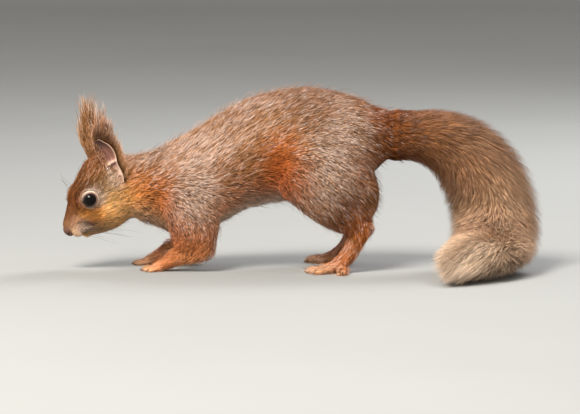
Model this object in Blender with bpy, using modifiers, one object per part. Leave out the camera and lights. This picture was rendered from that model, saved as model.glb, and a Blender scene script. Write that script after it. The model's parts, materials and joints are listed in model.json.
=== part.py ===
"""Red squirrel, life size: it stands on all fours with its head low and turned a
little to its left, and its tail arches up behind it and comes down to lie on the floor.

The tables are in millimetres: +X runs towards the tail, +Y to the animal's right,
+Z up, with the floor at zero. Their shapes include the coat, out to its tips.
"""

import math

import bmesh
import bpy
import numpy as np
from mathutils import Vector

MM = 0.001
GAP = 0.3  # left between two pieces that touch
CORNER = 1.6  # a cutter's corners move this much further than its faces
CENTRE = (-1.3, -26.3)  # middle of the footprint in the tables' frame, which becomes the origin
# How each melted piece is made: voxel, rounds of softening, triangles kept
BODY_MELT = (0.8, 14, 2500)
FOOT_MELT = (0.5, 3, 330)
EAR_MELT = (0.5, 2, 280)
SHARP_ANGLE = math.radians(50)  # an edge bent more than this is left sharp

# ---------------------------------------------------------------- driving sizes
HEAD_PITCH = math.radians(45)  # the nose points this far below level
HEAD_YAW = math.radians(20)  # and this far to the left
HEAD_ROLL = math.radians(6)  # the crown leans to the left
NOSE_TIP = (-138.3, -11.6, 23.2)

# Trunk and neck: top x, top z, bottom x, bottom z, half width, how low the widest part is
TRUNK = (
    (-113, 63, -108, 34, 12.5, 0.0),
    (-103, 68, -99, 27, 16.5, 0.05),
    (-92, 69, -88, 24.5, 18.0, 0.08),
    (-77, 75.5, -78, 19.5, 21.0, 0.10),
    (-61, 84, -62, 20, 23.5, 0.12),
    (-48, 92.5, -49, 25, 24.5, 0.12),
    (-33, 100, -34, 35, 25.0, 0.12),
    (-18, 104.5, -20, 38.5, 26.0, 0.12),
    (-2, 106.5, -5, 38, 27.5, 0.12),
    (15, 104.5, 11, 37, 28.5, 0.10),
    (29, 100.5, 27, 42, 26.5, 0.05),
    (40, 95.5, 38.5, 53, 21.5, 0.0),
    (49, 92.6, 47.5, 61.5, 16.5, 0.0),
    (58, 91.6, 57.5, 62.5, 15.2, 0.0),
    (70, 91.8, 69.5, 61.0, 15.4, 0.0),
)

# Head, in its own frame: distance back from the nose tip, top, bottom, half width, lowness
HEAD = (
    (-0.6, 0.8, -1.6, 1.2, 0.0),
    (0.6, 3.0, -4.2, 3.0, 0.0),
    (2.5, 4.8, -7.0, 4.6, 0.1),
    (5.5, 6.4, -10.6, 6.4, 0.15),
    (9.5, 9.0, -14.6, 8.2, 0.2),
    (15, 12.4, -18.4, 10.6, 0.2),
    (21, 15.2, -21.8, 13.0, 0.15),
    (28, 17.8, -24.0, 15.2, 0.15),
    (35, 19.4, -25.2, 16.6, 0.1),
    (42, 18.8, -25.6, 16.6, 0.05),
    (49, 15.2, -23.6, 15.0, 0.0),
    (55, 8.5, -18.5, 11.5, 0.0),
)
# Swellings on the head: back, side, up, then the three radii the same way round
HEAD_SWELLINGS = (
    (27, 9.5, -9.0, 11.0, 7.2, 10.5),  # cheek
    (5.4, 3.4, -4.6, 5.0, 3.7, 4.3),  # whisker pad
    (22, 7.4, 5.6, 9.0, 5.0, 6.5),  # eye mound
)
NOSE_PAD = (0.6, 0.0, 0.2, 2.1, 2.7, 2.5)
CHIN = (9.5, 0.0, -10.6, 5.0, 3.6, 3.6)

EYE = (21.1, 10.3, 6.2)  # back, side, up
EYE_RADIUS = 4.4

EAR_BASE = (40.6, 11.2, 9.2)
EAR_PINNA = (0.40, -0.08, 0.91)  # the way the pinna rises: back, side, up
EAR_TUFT = (0.66, 0.08, 0.74)  # the way the tuft streams off its top
EAR_FACES = (-0.34, 0.94, -0.06)  # the way the hollow of the ear looks
# Ear: distance up from its base, half width, depth of the cup
PINNA = (
    (-7, 4.6, 4.0),
    (0, 6.0, 4.8),
    (6, 7.2, 5.0),
    (12, 7.2, 4.4),
    (16.5, 6.0, 3.2),
    (19.8, 3.8, 2.0),
    (21, 1.6, 1.2),
)
PINNA_WALL = 1.6
PINNA_THIN = 0.1  # the cup's hollow is at least this deep
PINNA_LIP = (0.84, 0.5)  # width of the hollow against the ear's, how far its floor stands forward
# Tuft: distance up from the pinna's base, half width, half thickness
TUFT = (
    (11, 5.4, 2.0),
    (17, 6.2, 2.8),
    (25, 5.9, 3.0),
    (33, 4.7, 2.5),
    (39, 2.9, 1.8),
    (42, 1.4, 1.0),
)
TUFT_BEND = 0.8  # share of the pinna's height where the tuft turns to stream back
TUFT_BEHIND = 4.0  # it lies this far behind the hollow

# Limbs: x, side, z, radius in the plane of the leg, radius across it
HAUNCH = ((14.0, 20.0, 53.0), (33.0, 16.0, 23.5))  # centre, radii
HAUNCH_TILT = math.radians(35)  # its long axis comes down towards the heel by this
SHANK = (
    (-9, 25, 51, 11.0, 8.5),
    (5, 26.5, 42.5, 12.0, 9.0),
    (19, 26, 33.5, 11.5, 8.5),
    (30.5, 24, 27.5, 7.5, 6.2),
)
UPPER_ARM = (
    (-72, 14, 52, 13, 8.5),
    (-68, 18, 40, 16.0, 8.5),
    (-64, 21, 28, 16.8, 8.5),
    (-63, 22, 19, 16.0, 8.0),
)
FOREARM = (
    (-55, 22, 13, 7.6, 6.8),
    (-65, 20.5, 11, 7.8, 6.4),
    (-75.5, 18, 9, 6.0, 5.4),
)

# Feet: the leg bone from heel or wrist down to the toes, then the toes' fan
HIND_SOLE = (
    (33.5, 23.5, 26.0, 4.8, 4.2),
    (29.5, 24.5, 18.5, 4.6, 4.6),
    (25, 26, 10.5, 4.4, 5.4),
    (19.5, 27.5, 5.2, 3.8, 6.2),
    (14.5, 28.5, 2.6, 2.8, 5.6),
)
FORE_SOLE = (
    (-74, 18.5, 8.8, 4.6, 4.6),
    (-79, 18, 5.4, 3.7, 4.4),
    (-85, 17.4, 2.6, 2.8, 4.6),
)
# Toe: turn outwards in degrees, step sideways and set-back of its root, length, radius
HIND_TOES = (
    (-32, -4.6, 2.5, 9.0, 1.6),
    (-9, -3.2, 1.5, 12.6, 1.75),
    (6, 0.0, 1.5, 13.6, 1.8),
    (22, 3.2, 1.5, 13.0, 1.75),
    (72, 4.2, 7.0, 12.0, 1.75),
)
FORE_TOES = (
    (-24, -3.3, 1.5, 8.0, 1.25),
    (-6, -1.1, 1.5, 9.6, 1.3),
    (9, 1.2, 1.5, 9.6, 1.3),
    (28, 3.4, 1.5, 8.2, 1.25),
)
# Toe's profile: share of its length, then height, half height and half width in radii
TOE_PROFILE = ((0.0, 1.6, 1.05), (0.35, 1.45, 1.0), (0.7, 0.9, 0.95), (0.92, 0.6, 0.85))
TOE_ROOT_HEIGHT = 1.5
CLAW_LENGTH = 2.2  # in radii of the toe
# Claw's profile: share of its length, then height, half height and half width in radii of the toe
CLAW_PROFILE = ((0.3, 0.9, 0.5, 0.42), (1.0, 0.42, 0.24, 0.24))
HIND_HEADING = math.radians(14)  # outwards from straight ahead
FORE_HEADING = math.radians(6)
RIGHT_FORE_STEP = -6.0  # the right forefoot stands this far ahead of the left
FOREARM_STEP = 0.6  # share of that step which its forearm takes

# Tail: x, y, z, half breadth, half thickness
TAIL = (
    (50.0, 0.0, 77.5, 14.7, 15.0),
    (61.5, 0.0, 77.0, 14.5, 15.2),
    (73.0, 0.0, 75.6, 17.2, 16.0),
    (85.0, 0.0, 71.2, 20.8, 16.5),
    (96.5, 0.0, 62.2, 24.4, 16.5),
    (105.5, -0.5, 47.5, 26.8, 16.0),
    (109.8, -4.0, 32.0, 27.2, 15.4),
    (109.6, -14.0, 19.6, 27.4, 14.8),
    (107.0, -29.0, 14.0, 27.4, 14.4),
    (102.5, -46.0, 12.6, 27.0, 13.8),
    (96.5, -62.0, 11.8, 25.0, 12.8),
    (90.5, -76.0, 9.6, 22.0, 10.6),
    (86.0, -87.0, 7.2, 17.5, 8.0),
    (82.5, -95.0, 5.2, 10.5, 5.2),
)
TAIL_RINGS = 33
TAIL_CUTS = (2, 9, 14, 19, 25, 30)  # rings where one length of the tail meets the next
TAIL_CAP = ((1.0, 0.0), (0.7, 1.6), (0.3, 2.6))  # rings that round its end: size, how far out
TAIL_NAMES = ("tail_root", "tail_arch", "tail_fall", "tail_turn", "tail_rest", "tail_tip")

# Cutters that part the body. Boxes: x and z of the low corner, then of the high one
REACH = 60.0  # each cutter ends this far out to the side, past the animal
TAIL_BOX = ((20, 40), (90, 120))
FOREARM_BOX = ((-96, -2), (-40, 16.6))
NECK_BOX = ((-102, 15), (-60, 100))
HEAD_BOX = ((-170, 8), (-100, 120))
NECK_BACK = ((-84.5, 0.0, 48.0), (1.0, 0.0, -0.05))  # plane between neck and trunk: point, normal
# Drums: centre, radii, tilt
SHOULDER_CUT = ((-66.0, 0.0, 33.0), (22.0, 28.0), math.radians(-6))
SHANK_CUT = ((11.0, 0.0, 34.5), (36.0, 18.0), math.radians(32))
HAUNCH_MARGIN = (2.5, 3.5)  # its drum is this much larger than the haunch
# How far from the midline each limb's cutter starts
FOREARM_START = 0.5
SHOULDER_START = 14.5
SHANK_START = 15.0
HAUNCH_START = 17.0

# ---------------------------------------------------------------- finishes' colours
FUR = (0.42, 0.22, 0.11)
FOOT_FUR = (0.50, 0.21, 0.08)
TAIL_FUR = (0.38, 0.22, 0.13)
EYE_BLACK = (0.01, 0.008, 0.008)
FUR_ROUGHNESS = 0.8
EYE_ROUGHNESS = 0.05


# ---------------------------------------------------------------- frames and curves
def unit(vector):
    vector = np.asarray(vector, float)
    return vector / np.linalg.norm(vector, axis=-1, keepdims=True)


def head_axes():
    """Back, right and up axes of the head, from its pitch, yaw and roll."""
    forward = np.array(
        (
            -math.cos(HEAD_PITCH) * math.cos(HEAD_YAW),
            -math.cos(HEAD_PITCH) * math.sin(HEAD_YAW),
            -math.sin(HEAD_PITCH),
        )
    )
    right = np.array((-math.sin(HEAD_YAW), math.cos(HEAD_YAW), 0.0))
    up = np.cross(right, forward)
    rolled_right = right * math.cos(HEAD_ROLL) + up * math.sin(HEAD_ROLL)
    rolled_up = up * math.cos(HEAD_ROLL) - right * math.sin(HEAD_ROLL)
    return np.array((-forward, rolled_right, rolled_up))


HEAD_AXES = head_axes()


def head_point(back, side, up):
    return np.array(NOSE_TIP) + np.array((back, side, up)) @ HEAD_AXES


def smooth_rows(rows, count):
    """A Catmull-Rom curve through the rows of a table, read at count even steps."""
    rows = np.asarray(rows, float)
    padded = np.vstack((2 * rows[0] - rows[1], rows, 2 * rows[-1] - rows[-2]))
    place = np.linspace(0, len(rows) - 1, count)
    first = np.minimum(place.astype(int), len(rows) - 2)
    t = (place - first)[:, None]
    a, b, c, d = (padded[first + k] for k in range(4))
    return 0.5 * (2 * b + (c - a) * t + (2 * a - 5 * b + 4 * c - d) * t**2 + (3 * b - a - 3 * c + d) * t**3)


def carried_axes(centres, first_axis):
    """Tangents of a path, and one axis carried along it without twist."""
    tangents = unit(np.gradient(centres, axis=0))
    axes = [unit(np.asarray(first_axis) - np.dot(first_axis, tangents[0]) * tangents[0])]
    for tangent in tangents[1:]:
        axes.append(unit(axes[-1] - np.dot(axes[-1], tangent) * tangent))
    return tangents, np.array(axes)


# ---------------------------------------------------------------- mesh makers
def new_object(name, mesh):
    obj = bpy.data.objects.new(name, mesh)
    bpy.context.scene.collection.objects.link(obj)
    return obj


def face_outwards(mesh):
    work = bmesh.new()
    work.from_mesh(mesh)
    bmesh.ops.remove_doubles(work, verts=work.verts, dist=0.00001)
    bmesh.ops.recalc_face_normals(work, faces=work.faces)
    work.to_mesh(mesh)
    work.free()


def loft(name, rings):
    """A closed skin over a stack of rings, in millimetres, with a pole at each end."""
    rings = np.asarray(rings, float)
    count, around = rings.shape[:2]
    points = np.vstack((rings.reshape(-1, 3), rings[0].mean(0), rings[-1].mean(0))) * MM
    points -= np.array((*CENTRE, 0.0)) * MM
    faces = []
    for i in range(count - 1):
        for j in range(around):
            k = (j + 1) % around
            faces.append((i * around + j, i * around + k, (i + 1) * around + k, (i + 1) * around + j))
    first_pole, last_pole = count * around, count * around + 1
    for j in range(around):
        k = (j + 1) % around
        faces.append((j, k, first_pole))
        faces.append(((count - 1) * around + j, (count - 1) * around + k, last_pole))
    mesh = bpy.data.meshes.new(name)
    mesh.from_pydata(points.tolist(), [], faces)
    face_outwards(mesh)
    return new_object(name, mesh)


def oval_rings(centres, ups, sides, top, bottom, half_width, lowness, around):
    """Egg-shaped rings: lowness moves the widest part down from the middle."""
    angle = np.linspace(0, 2 * math.pi, around, endpoint=False)
    rise, reach = np.cos(angle), np.sin(angle)
    height = np.where(rise > 0, top[:, None] * rise, bottom[:, None] * rise)
    width = half_width[:, None] * reach * (1 - lowness[:, None] * rise)
    return centres[:, None] + height[..., None] * ups[:, None] + width[..., None] * sides[:, None]


def trunk_loft():
    rows = smooth_rows(TRUNK, 40)
    tops = np.stack((rows[:, 0], np.zeros(len(rows)), rows[:, 1]), 1)
    bottoms = np.stack((rows[:, 2], np.zeros(len(rows)), rows[:, 3]), 1)
    half = np.linalg.norm(tops - bottoms, axis=1) / 2
    sides = np.tile((0.0, 1.0, 0.0), (len(rows), 1))
    centres = (tops + bottoms) / 2
    rings = oval_rings(centres, unit(tops - bottoms), sides, half, half, rows[:, 4], rows[:, 5], 32)
    return loft("trunk_form", rings)


def head_loft():
    rows = smooth_rows(HEAD, 40)
    middle = (rows[:, 1] + rows[:, 2]) / 2
    half = (rows[:, 1] - rows[:, 2]) / 2
    centres = head_point(0, 0, 0) + np.stack((rows[:, 0], 0 * middle, middle), 1) @ HEAD_AXES
    ups = np.tile(HEAD_AXES[2], (len(rows), 1))
    sides = np.tile(HEAD_AXES[1], (len(rows), 1))
    return loft("head_form", oval_rings(centres, ups, sides, half, half, rows[:, 3], rows[:, 4], 28))


def tube(name, rows, rings=12, around=14, across=(0.0, 1.0, 0.0)):
    """A limb through rows of x, y, z, radius in its plane and radius across, with round ends."""
    rows = smooth_rows(rows, rings)
    centres = rows[:, :3]
    tangents, sides = carried_axes(centres, across)
    ups = np.cross(tangents, sides)
    cap = np.radians((72, 48, 24))
    start = [(centres[0] - tangents[0] * rows[0, 4] * math.sin(a), 0, math.cos(a)) for a in cap]
    end = [(centres[-1] + tangents[-1] * rows[-1, 4] * math.sin(a), -1, math.cos(a)) for a in cap[::-1]]
    stack = start + [(c, i, 1.0) for i, c in enumerate(centres)] + end
    angle = np.linspace(0, 2 * math.pi, around, endpoint=False)[:, None]
    shapes = [
        c + (np.cos(angle) * ups[i] * rows[i, 3] + np.sin(angle) * sides[i] * rows[i, 4]) * size
        for c, i, size in stack
    ]
    return loft(name, shapes)


def swelling(name, centre, radii, axes):
    """A ball stretched along three axes."""
    work = bmesh.new()
    bmesh.ops.create_uvsphere(work, u_segments=16, v_segments=10, radius=1.0)
    shift = np.array((*CENTRE, 0.0))
    for vertex in work.verts:
        local = np.array(vertex.co) * radii
        vertex.co = Vector((local @ axes + centre - shift) * MM)
    mesh = bpy.data.meshes.new(name)
    work.to_mesh(mesh)
    work.free()
    face_outwards(mesh)
    return new_object(name, mesh)


def on_side(rows, side, step=0.0):
    """The rows with their second column on the left (-1) or right (+1), moved along X by step."""
    return [(row[0] + step, row[1] * side, *row[2:]) for row in rows]


# ---------------------------------------------------------------- modifiers and cuts
def apply_modifiers(obj):
    graph = bpy.context.evaluated_depsgraph_get()
    mesh = bpy.data.meshes.new_from_object(obj.evaluated_get(graph))
    obj.modifiers.clear()
    obj.data = mesh
    return obj


def remove(*objects):
    for obj in objects:
        bpy.data.objects.remove(obj)


def melt(name, pieces, how):
    """One closed skin round overlapping pieces, softened, then thinned to so many triangles."""
    voxel, softening, triangles = how
    work = bmesh.new()
    for piece in pieces:
        work.from_mesh(piece.data)
    mesh = bpy.data.meshes.new(name)
    work.to_mesh(mesh)
    work.free()
    remove(*pieces)
    obj = new_object(name, mesh)
    remesh = obj.modifiers.new("skin", "REMESH")
    remesh.mode = "VOXEL"
    remesh.voxel_size = voxel * MM
    smooth = obj.modifiers.new("soften", "SMOOTH")
    smooth.factor = 0.5
    smooth.iterations = softening
    apply_modifiers(obj)
    thin = obj.modifiers.new("thin", "DECIMATE")
    thin.ratio = triangles / (2 * len(obj.data.polygons))
    return apply_modifiers(obj)


def rest_on_floor(obj):
    """Flattens what would sink below the floor, which leaves small flats at one level."""
    for vertex in obj.data.vertices:
        vertex.co.z = max(vertex.co.z, 0.0)


def boolean(obj, other, operation):
    cut = obj.modifiers.new(operation.lower(), "BOOLEAN")
    cut.operation = operation
    cut.object = other
    cut.solver = "EXACT"
    return apply_modifiers(obj)


def copy_of(obj, name):
    return new_object(name, obj.data.copy())


def grown(obj, by):
    """A copy with its surface moved outwards along its normals."""
    twin = copy_of(obj, obj.name + "_grown")
    swell = twin.modifiers.new("grow", "DISPLACE")
    swell.mid_level = 0.0
    swell.strength = by * MM
    return apply_modifiers(twin)


def cell(name, low, high, planes=()):
    """A box from low to high, in millimetres, trimmed by planes given as point and outward normal."""
    work = bmesh.new()
    bmesh.ops.create_cube(work, size=1.0)
    shift = np.array((*CENTRE, 0.0))
    for vertex in work.verts:
        share = np.array(vertex.co) + 0.5
        vertex.co = Vector((np.array(low) + share * (np.array(high) - low) - shift) * MM)
    for point, normal in planes:
        geometry = work.verts[:] + work.edges[:] + work.faces[:]
        cut = bmesh.ops.bisect_plane(
            work, geom=geometry, clear_outer=True,
            plane_co=Vector((np.array(point) - shift) * MM), plane_no=Vector(normal),
        )
        rim = [edge for edge in cut["geom_cut"] if isinstance(edge, bmesh.types.BMEdge)]
        bmesh.ops.contextual_create(work, geom=rim)
    bmesh.ops.recalc_face_normals(work, faces=work.faces)
    mesh = bpy.data.meshes.new(name)
    work.to_mesh(mesh)
    work.free()
    return new_object(name, mesh)


def tilted(tilt):
    """Axes whose first comes down towards +X by tilt."""
    ahead = np.array((math.cos(tilt), 0.0, -math.sin(tilt)))
    return np.array((ahead, (0.0, 1.0, 0.0), (math.sin(tilt), 0.0, math.cos(tilt))))


def drum(centre, radii, tilt, near, far):
    """An oval drum along Y from near to far, which cuts the top of a limb out of the flank."""
    angle = np.linspace(0, 2 * math.pi, 22, endpoint=False)[:, None]
    axes = tilted(tilt)
    oval = np.array(centre) + np.cos(angle) * axes[0] * radii[0] + np.sin(angle) * axes[2] * radii[-1]
    return loft("cut", [np.stack((oval[:, 0], np.full(len(oval), y), oval[:, 2]), 1) for y in (near, far)])


def keep_main_shell(obj):
    """Drops the crumbs that a cut can leave beside the main shell."""
    work = bmesh.new()
    work.from_mesh(obj.data)
    left = set(work.verts)
    shells = []
    while left:
        front = [left.pop()]
        shell = list(front)
        while front:
            near = [edge.other_vert(vertex) for vertex in front for edge in vertex.link_edges]
            front = [vertex for vertex in set(near) if vertex in left]
            left.difference_update(front)
            shell += front
        shells.append(shell)
    shells.sort(key=len)
    for shell in shells[:-1]:
        bmesh.ops.delete(work, geom=shell, context="VERTS")
    work.to_mesh(obj.data)
    work.free()
    return obj


def take(body, name, cutter):
    """Moves what lies inside the cutter out of body into a node of its own, with a thin gap."""
    piece = keep_main_shell(boolean(copy_of(body, name), cutter, "INTERSECT"))
    wide = grown(cutter, GAP * CORNER)
    boolean(body, wide, "DIFFERENCE")
    remove(cutter, wide)
    return piece


# ---------------------------------------------------------------- finishes
def material(name, colour, roughness):
    made = bpy.data.materials.new(name)
    made.use_nodes = True
    shader = made.node_tree.nodes["Principled BSDF"]
    shader.inputs["Base Color"].default_value = (*colour, 1.0)
    shader.inputs["Roughness"].default_value = roughness
    return made


def finish(obj, look):
    obj.data.materials.clear()
    obj.data.materials.append(look)
    obj.data.shade_smooth()
    obj.data.set_sharp_from_angle(angle=SHARP_ANGLE)


# ---------------------------------------------------------------- the animal
def body_form():
    """Trunk, neck, head and the upper limbs, melted into one form."""
    pieces = [trunk_loft(), head_loft()]
    for table in (NOSE_PAD, CHIN):
        pieces.append(swelling("mid_swelling", head_point(*table[:3]), table[3:], HEAD_AXES))
    for side in (-1, 1):
        for back, out, up, *radii in HEAD_SWELLINGS:
            pieces.append(swelling("swelling", head_point(back, side * out, up), radii, HEAD_AXES))
        centre, radii = HAUNCH
        pieces.append(swelling("haunch", np.array(centre) * (1, side, 1), radii, tilted(HAUNCH_TILT)))
        step = RIGHT_FORE_STEP if side > 0 else 0.0
        pieces.append(tube("shank", on_side(SHANK, side)))
        pieces.append(tube("upper_arm", on_side(UPPER_ARM, side)))
        pieces.append(tube("forearm", on_side(FOREARM, side, step * FOREARM_STEP)))
    return melt("body", pieces, BODY_MELT)


def foot(name, sole, toes, heading, side, step):
    """A sole and its fan of clawed toes, melted together."""
    rows = on_side(sole, side, step)
    pieces = [tube("sole", rows)]
    root = np.array(rows[-1][:3])
    ahead = np.array((-math.cos(heading), side * math.sin(heading), 0.0))
    outward = np.array((math.sin(heading), side * math.cos(heading), 0.0))
    for turn, sideways, setback, length, radius in toes:
        angle = math.radians(turn)
        way = ahead * math.cos(angle) + outward * math.sin(angle)
        start = root + outward * sideways - ahead * setback
        start[2] = radius * TOE_ROOT_HEIGHT
        spine = []
        for share, high, wide in TOE_PROFILE:
            place = start + way * length * share
            spine.append((*place[:2], radius * high, radius * wide, radius * wide))
        for share, high, tall, wide in CLAW_PROFILE:
            place = start + way * (length + radius * CLAW_LENGTH * share)
            spine.append((*place[:2], radius * high, radius * tall, radius * wide))
        pieces.append(tube("toe", spine, 12, 10))
    made = melt(name, pieces, FOOT_MELT)
    rest_on_floor(made)
    return made


def pinna(side):
    """A cupped ear: each ring is a crescent, an outer arc and an inner one."""
    rows = smooth_rows(PINNA, 12)
    flip = np.array((1, side, 1))
    axis = unit(np.array(EAR_PINNA) * flip) @ HEAD_AXES
    facing = np.array(EAR_FACES) * flip @ HEAD_AXES
    facing = unit(facing - facing @ axis * axis)
    across = np.cross(axis, facing)
    base = head_point(EAR_BASE[0], EAR_BASE[1] * side, EAR_BASE[2])
    angle = np.linspace(0, math.pi, 9)
    rings = []
    for height, half, depth in rows:
        outer = [half * math.cos(a) * across - depth * math.sin(a) * facing for a in angle]
        inner_depth = max(depth - PINNA_WALL, PINNA_THIN)
        share, lip = PINNA_LIP
        inner = [
            half * share * math.cos(a) * across + (lip - inner_depth * math.sin(a)) * facing
            for a in angle[::-1]
        ]
        rings.append(base + axis * height + np.array(outer + inner))
    return loft("pinna", rings)


def ear_tuft(side):
    """The lock of long hair that streams up and back off the top of the ear."""
    flip = np.array((1, side, 1))
    rise = unit(np.array(EAR_PINNA) * flip) @ HEAD_AXES
    stream = unit(np.array(EAR_TUFT) * flip) @ HEAD_AXES
    base = head_point(EAR_BASE[0], EAR_BASE[1] * side, EAR_BASE[2])
    facing = np.array(EAR_FACES) * flip @ HEAD_AXES
    top = PINNA[-1][0] * TUFT_BEND
    rows = []
    for height, half, thick in TUFT:
        along = base + rise * min(height, top) + stream * max(height - top, 0.0)
        rows.append((*(along - facing * TUFT_BEHIND), half, thick))
    return tube("tuft", rows, 12, 10, across=facing)


def tail_lengths():
    """The tail's bush as a run of ovals along its path, parted into lengths."""
    rows = smooth_rows(TAIL, TAIL_RINGS)
    centres = rows[:, :3]
    tangents, thin_axes = carried_axes(centres, (0.0, 1.0, 0.0))
    broad_axes = np.cross(tangents, thin_axes)
    angle = np.linspace(0, 2 * math.pi, 18, endpoint=False)[:, None]

    def ring(i, along=0.0):
        broad = np.cos(angle) * broad_axes[i] * rows[i, 3]
        thin = np.sin(angle) * thin_axes[i] * rows[i, 4]
        return centres[i] + tangents[i] * along + broad + thin

    starts = TAIL_CUTS
    ends = (*TAIL_CUTS[1:], TAIL_RINGS - 1)
    made = []
    for name, first, last in zip(TAIL_NAMES, starts, ends):
        rings = [ring(first, GAP / 2)] + [ring(i) for i in range(first + 1, last)]
        if last == TAIL_RINGS - 1:
            for size, out in TAIL_CAP:
                rings.append(centres[last] + (ring(last) - centres[last]) * size + tangents[last] * out)
        else:
            rings.append(ring(last, -GAP / 2))
        length = loft(name, rings)
        rest_on_floor(length)
        made.append(length)
    return made, centres[TAIL_CUTS[0]], tangents[TAIL_CUTS[0]]


def box(corners, planes=()):
    """A cutter right across the animal between two corners given as x and z."""
    (low_x, low_z), (high_x, high_z) = corners
    return cell("cut", (low_x, -REACH, low_z), (high_x, REACH, high_z), planes)


def part_body(body, tail_point, tail_way):
    """Cuts the melted form into the parts that a person would name."""
    nodes = []
    behind_tail = box(TAIL_BOX, [(tail_point - tail_way * GAP / 2, -tail_way)])
    boolean(body, behind_tail, "DIFFERENCE")
    remove(behind_tail)
    for word, side in (("left", -1), ("right", 1)):
        low_y, high_y = sorted((side * FOREARM_START, side * REACH))
        (low_x, low_z), (high_x, high_z) = FOREARM_BOX
        forearm = cell("cut", (low_x, low_y, low_z), (high_x, high_y, high_z))
        nodes.append(take(body, f"forearm_{word}", forearm))
        upper = drum(*SHOULDER_CUT, side * SHOULDER_START, side * REACH)
        nodes.append(take(body, f"upper_arm_{word}", upper))
        shank = drum(*SHANK_CUT, side * SHANK_START, side * REACH)
        nodes.append(take(body, f"shank_{word}", shank))
        centre, radii = HAUNCH
        size = (radii[0] + HAUNCH_MARGIN[0], radii[2] + HAUNCH_MARGIN[1])
        haunch = drum(centre, size, HAUNCH_TILT, side * HAUNCH_START, side * REACH)
        nodes.append(take(body, f"thigh_{word}", haunch))
    nodes.append(take(body, "neck", box(NECK_BOX, [NECK_BACK])))
    nodes.append(take(body, "head", box(HEAD_BOX)))
    body.name = "trunk"
    nodes.append(keep_main_shell(body))
    return nodes


def main():
    for obj in list(bpy.data.objects):
        bpy.data.objects.remove(obj)
    collection = bpy.data.collections.new("red_squirrel")
    bpy.context.scene.collection.children.link(collection)

    fur = material("chestnut_fur", FUR, FUR_ROUGHNESS)
    foot_fur = material("orange_fur", FOOT_FUR, FUR_ROUGHNESS)
    tail_fur = material("tail_fur", TAIL_FUR, FUR_ROUGHNESS)
    eye_look = material("eye", EYE_BLACK, EYE_ROUGHNESS)

    body = body_form()
    rest_on_floor(body)
    skin_clearance = grown(body, GAP)

    feet = []
    for word, side in (("left", -1), ("right", 1)):
        step = RIGHT_FORE_STEP if side > 0 else 0.0
        feet.append(foot(f"hind_foot_{word}", HIND_SOLE, HIND_TOES, HIND_HEADING, side, 0.0))
        feet.append(foot(f"fore_foot_{word}", FORE_SOLE, FORE_TOES, FORE_HEADING, side, step))
    ears = []
    eyes = []
    for word, side in (("left", -1), ("right", 1)):
        ears.append(melt(f"ear_{word}", [pinna(side), ear_tuft(side)], EAR_MELT))
        centre = head_point(EYE[0], EYE[1] * side, EYE[2])
        eyes.append(swelling(f"eye_{word}", centre, (EYE_RADIUS,) * 3, np.eye(3)))
    for piece in feet + ears:
        keep_main_shell(boolean(piece, skin_clearance, "DIFFERENCE"))
    for eyeball in eyes:
        socket = grown(eyeball, GAP)
        boolean(body, socket, "DIFFERENCE")
        remove(socket)
    remove(skin_clearance)

    tail, tail_point, tail_way = tail_lengths()
    flesh = part_body(body, tail_point, tail_way)
    for group, look in ((flesh, fur), (feet, foot_fur), (ears, fur), (tail, tail_fur), (eyes, eye_look)):
        for node in group:
            finish(node, look)
            bpy.context.scene.collection.objects.unlink(node)
            collection.objects.link(node)


main()
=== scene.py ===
# %% [markdown]
# # A red squirrel, life size
#
# A museum's squirrel is a form of the animal's flesh, covered in skin, and the coat stands
# on that skin. This lesson builds it the same way round: first the bare form, then the eyes,
# nose, ears and claws, and last the hair, which gives the animal its soft outline.
#
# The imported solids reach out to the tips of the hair. Everything here is placed from them,
# so the model keeps its size, and the bare form lies inside them by the depth of the coat.

# %% Open the solids as the frame
import json
import math

import bmesh
import bpy
import numpy as np
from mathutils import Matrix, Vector

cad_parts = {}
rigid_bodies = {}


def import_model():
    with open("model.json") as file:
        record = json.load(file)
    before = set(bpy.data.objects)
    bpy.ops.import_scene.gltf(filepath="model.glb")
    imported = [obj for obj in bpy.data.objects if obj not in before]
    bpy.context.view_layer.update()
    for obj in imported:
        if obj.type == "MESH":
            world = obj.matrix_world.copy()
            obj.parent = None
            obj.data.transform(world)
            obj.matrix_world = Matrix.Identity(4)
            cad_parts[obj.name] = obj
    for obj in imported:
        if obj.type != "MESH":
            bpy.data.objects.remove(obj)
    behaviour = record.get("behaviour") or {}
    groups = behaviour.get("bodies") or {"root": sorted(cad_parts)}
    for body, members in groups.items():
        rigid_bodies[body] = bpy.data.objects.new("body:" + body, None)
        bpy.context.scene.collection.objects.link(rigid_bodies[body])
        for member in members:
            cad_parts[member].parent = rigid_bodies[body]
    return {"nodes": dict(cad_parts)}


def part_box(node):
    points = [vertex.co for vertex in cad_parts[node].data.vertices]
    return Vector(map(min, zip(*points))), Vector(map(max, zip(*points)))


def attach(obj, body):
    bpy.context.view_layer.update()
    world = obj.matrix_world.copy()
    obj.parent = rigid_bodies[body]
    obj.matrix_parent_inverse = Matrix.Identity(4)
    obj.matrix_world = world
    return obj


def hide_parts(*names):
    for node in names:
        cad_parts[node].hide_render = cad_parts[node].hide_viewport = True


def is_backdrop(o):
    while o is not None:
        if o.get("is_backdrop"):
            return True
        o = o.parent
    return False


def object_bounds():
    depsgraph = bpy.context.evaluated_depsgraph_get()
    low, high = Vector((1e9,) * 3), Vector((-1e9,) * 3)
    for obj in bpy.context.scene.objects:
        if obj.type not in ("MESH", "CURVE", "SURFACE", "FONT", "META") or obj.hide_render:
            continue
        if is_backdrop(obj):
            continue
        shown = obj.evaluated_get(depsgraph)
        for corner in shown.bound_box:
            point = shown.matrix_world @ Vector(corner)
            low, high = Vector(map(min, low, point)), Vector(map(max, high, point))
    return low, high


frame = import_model()
cad_low, cad_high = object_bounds()
MM = 0.001
draw = np.random.default_rng(23)
nodes = sorted(frame["nodes"])
flesh = [node for node in nodes if not node.startswith("eye_")]
print("flesh nodes:", len(flesh), "size in mm:", [round(side / MM, 1) for side in cad_high - cad_low])

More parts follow.
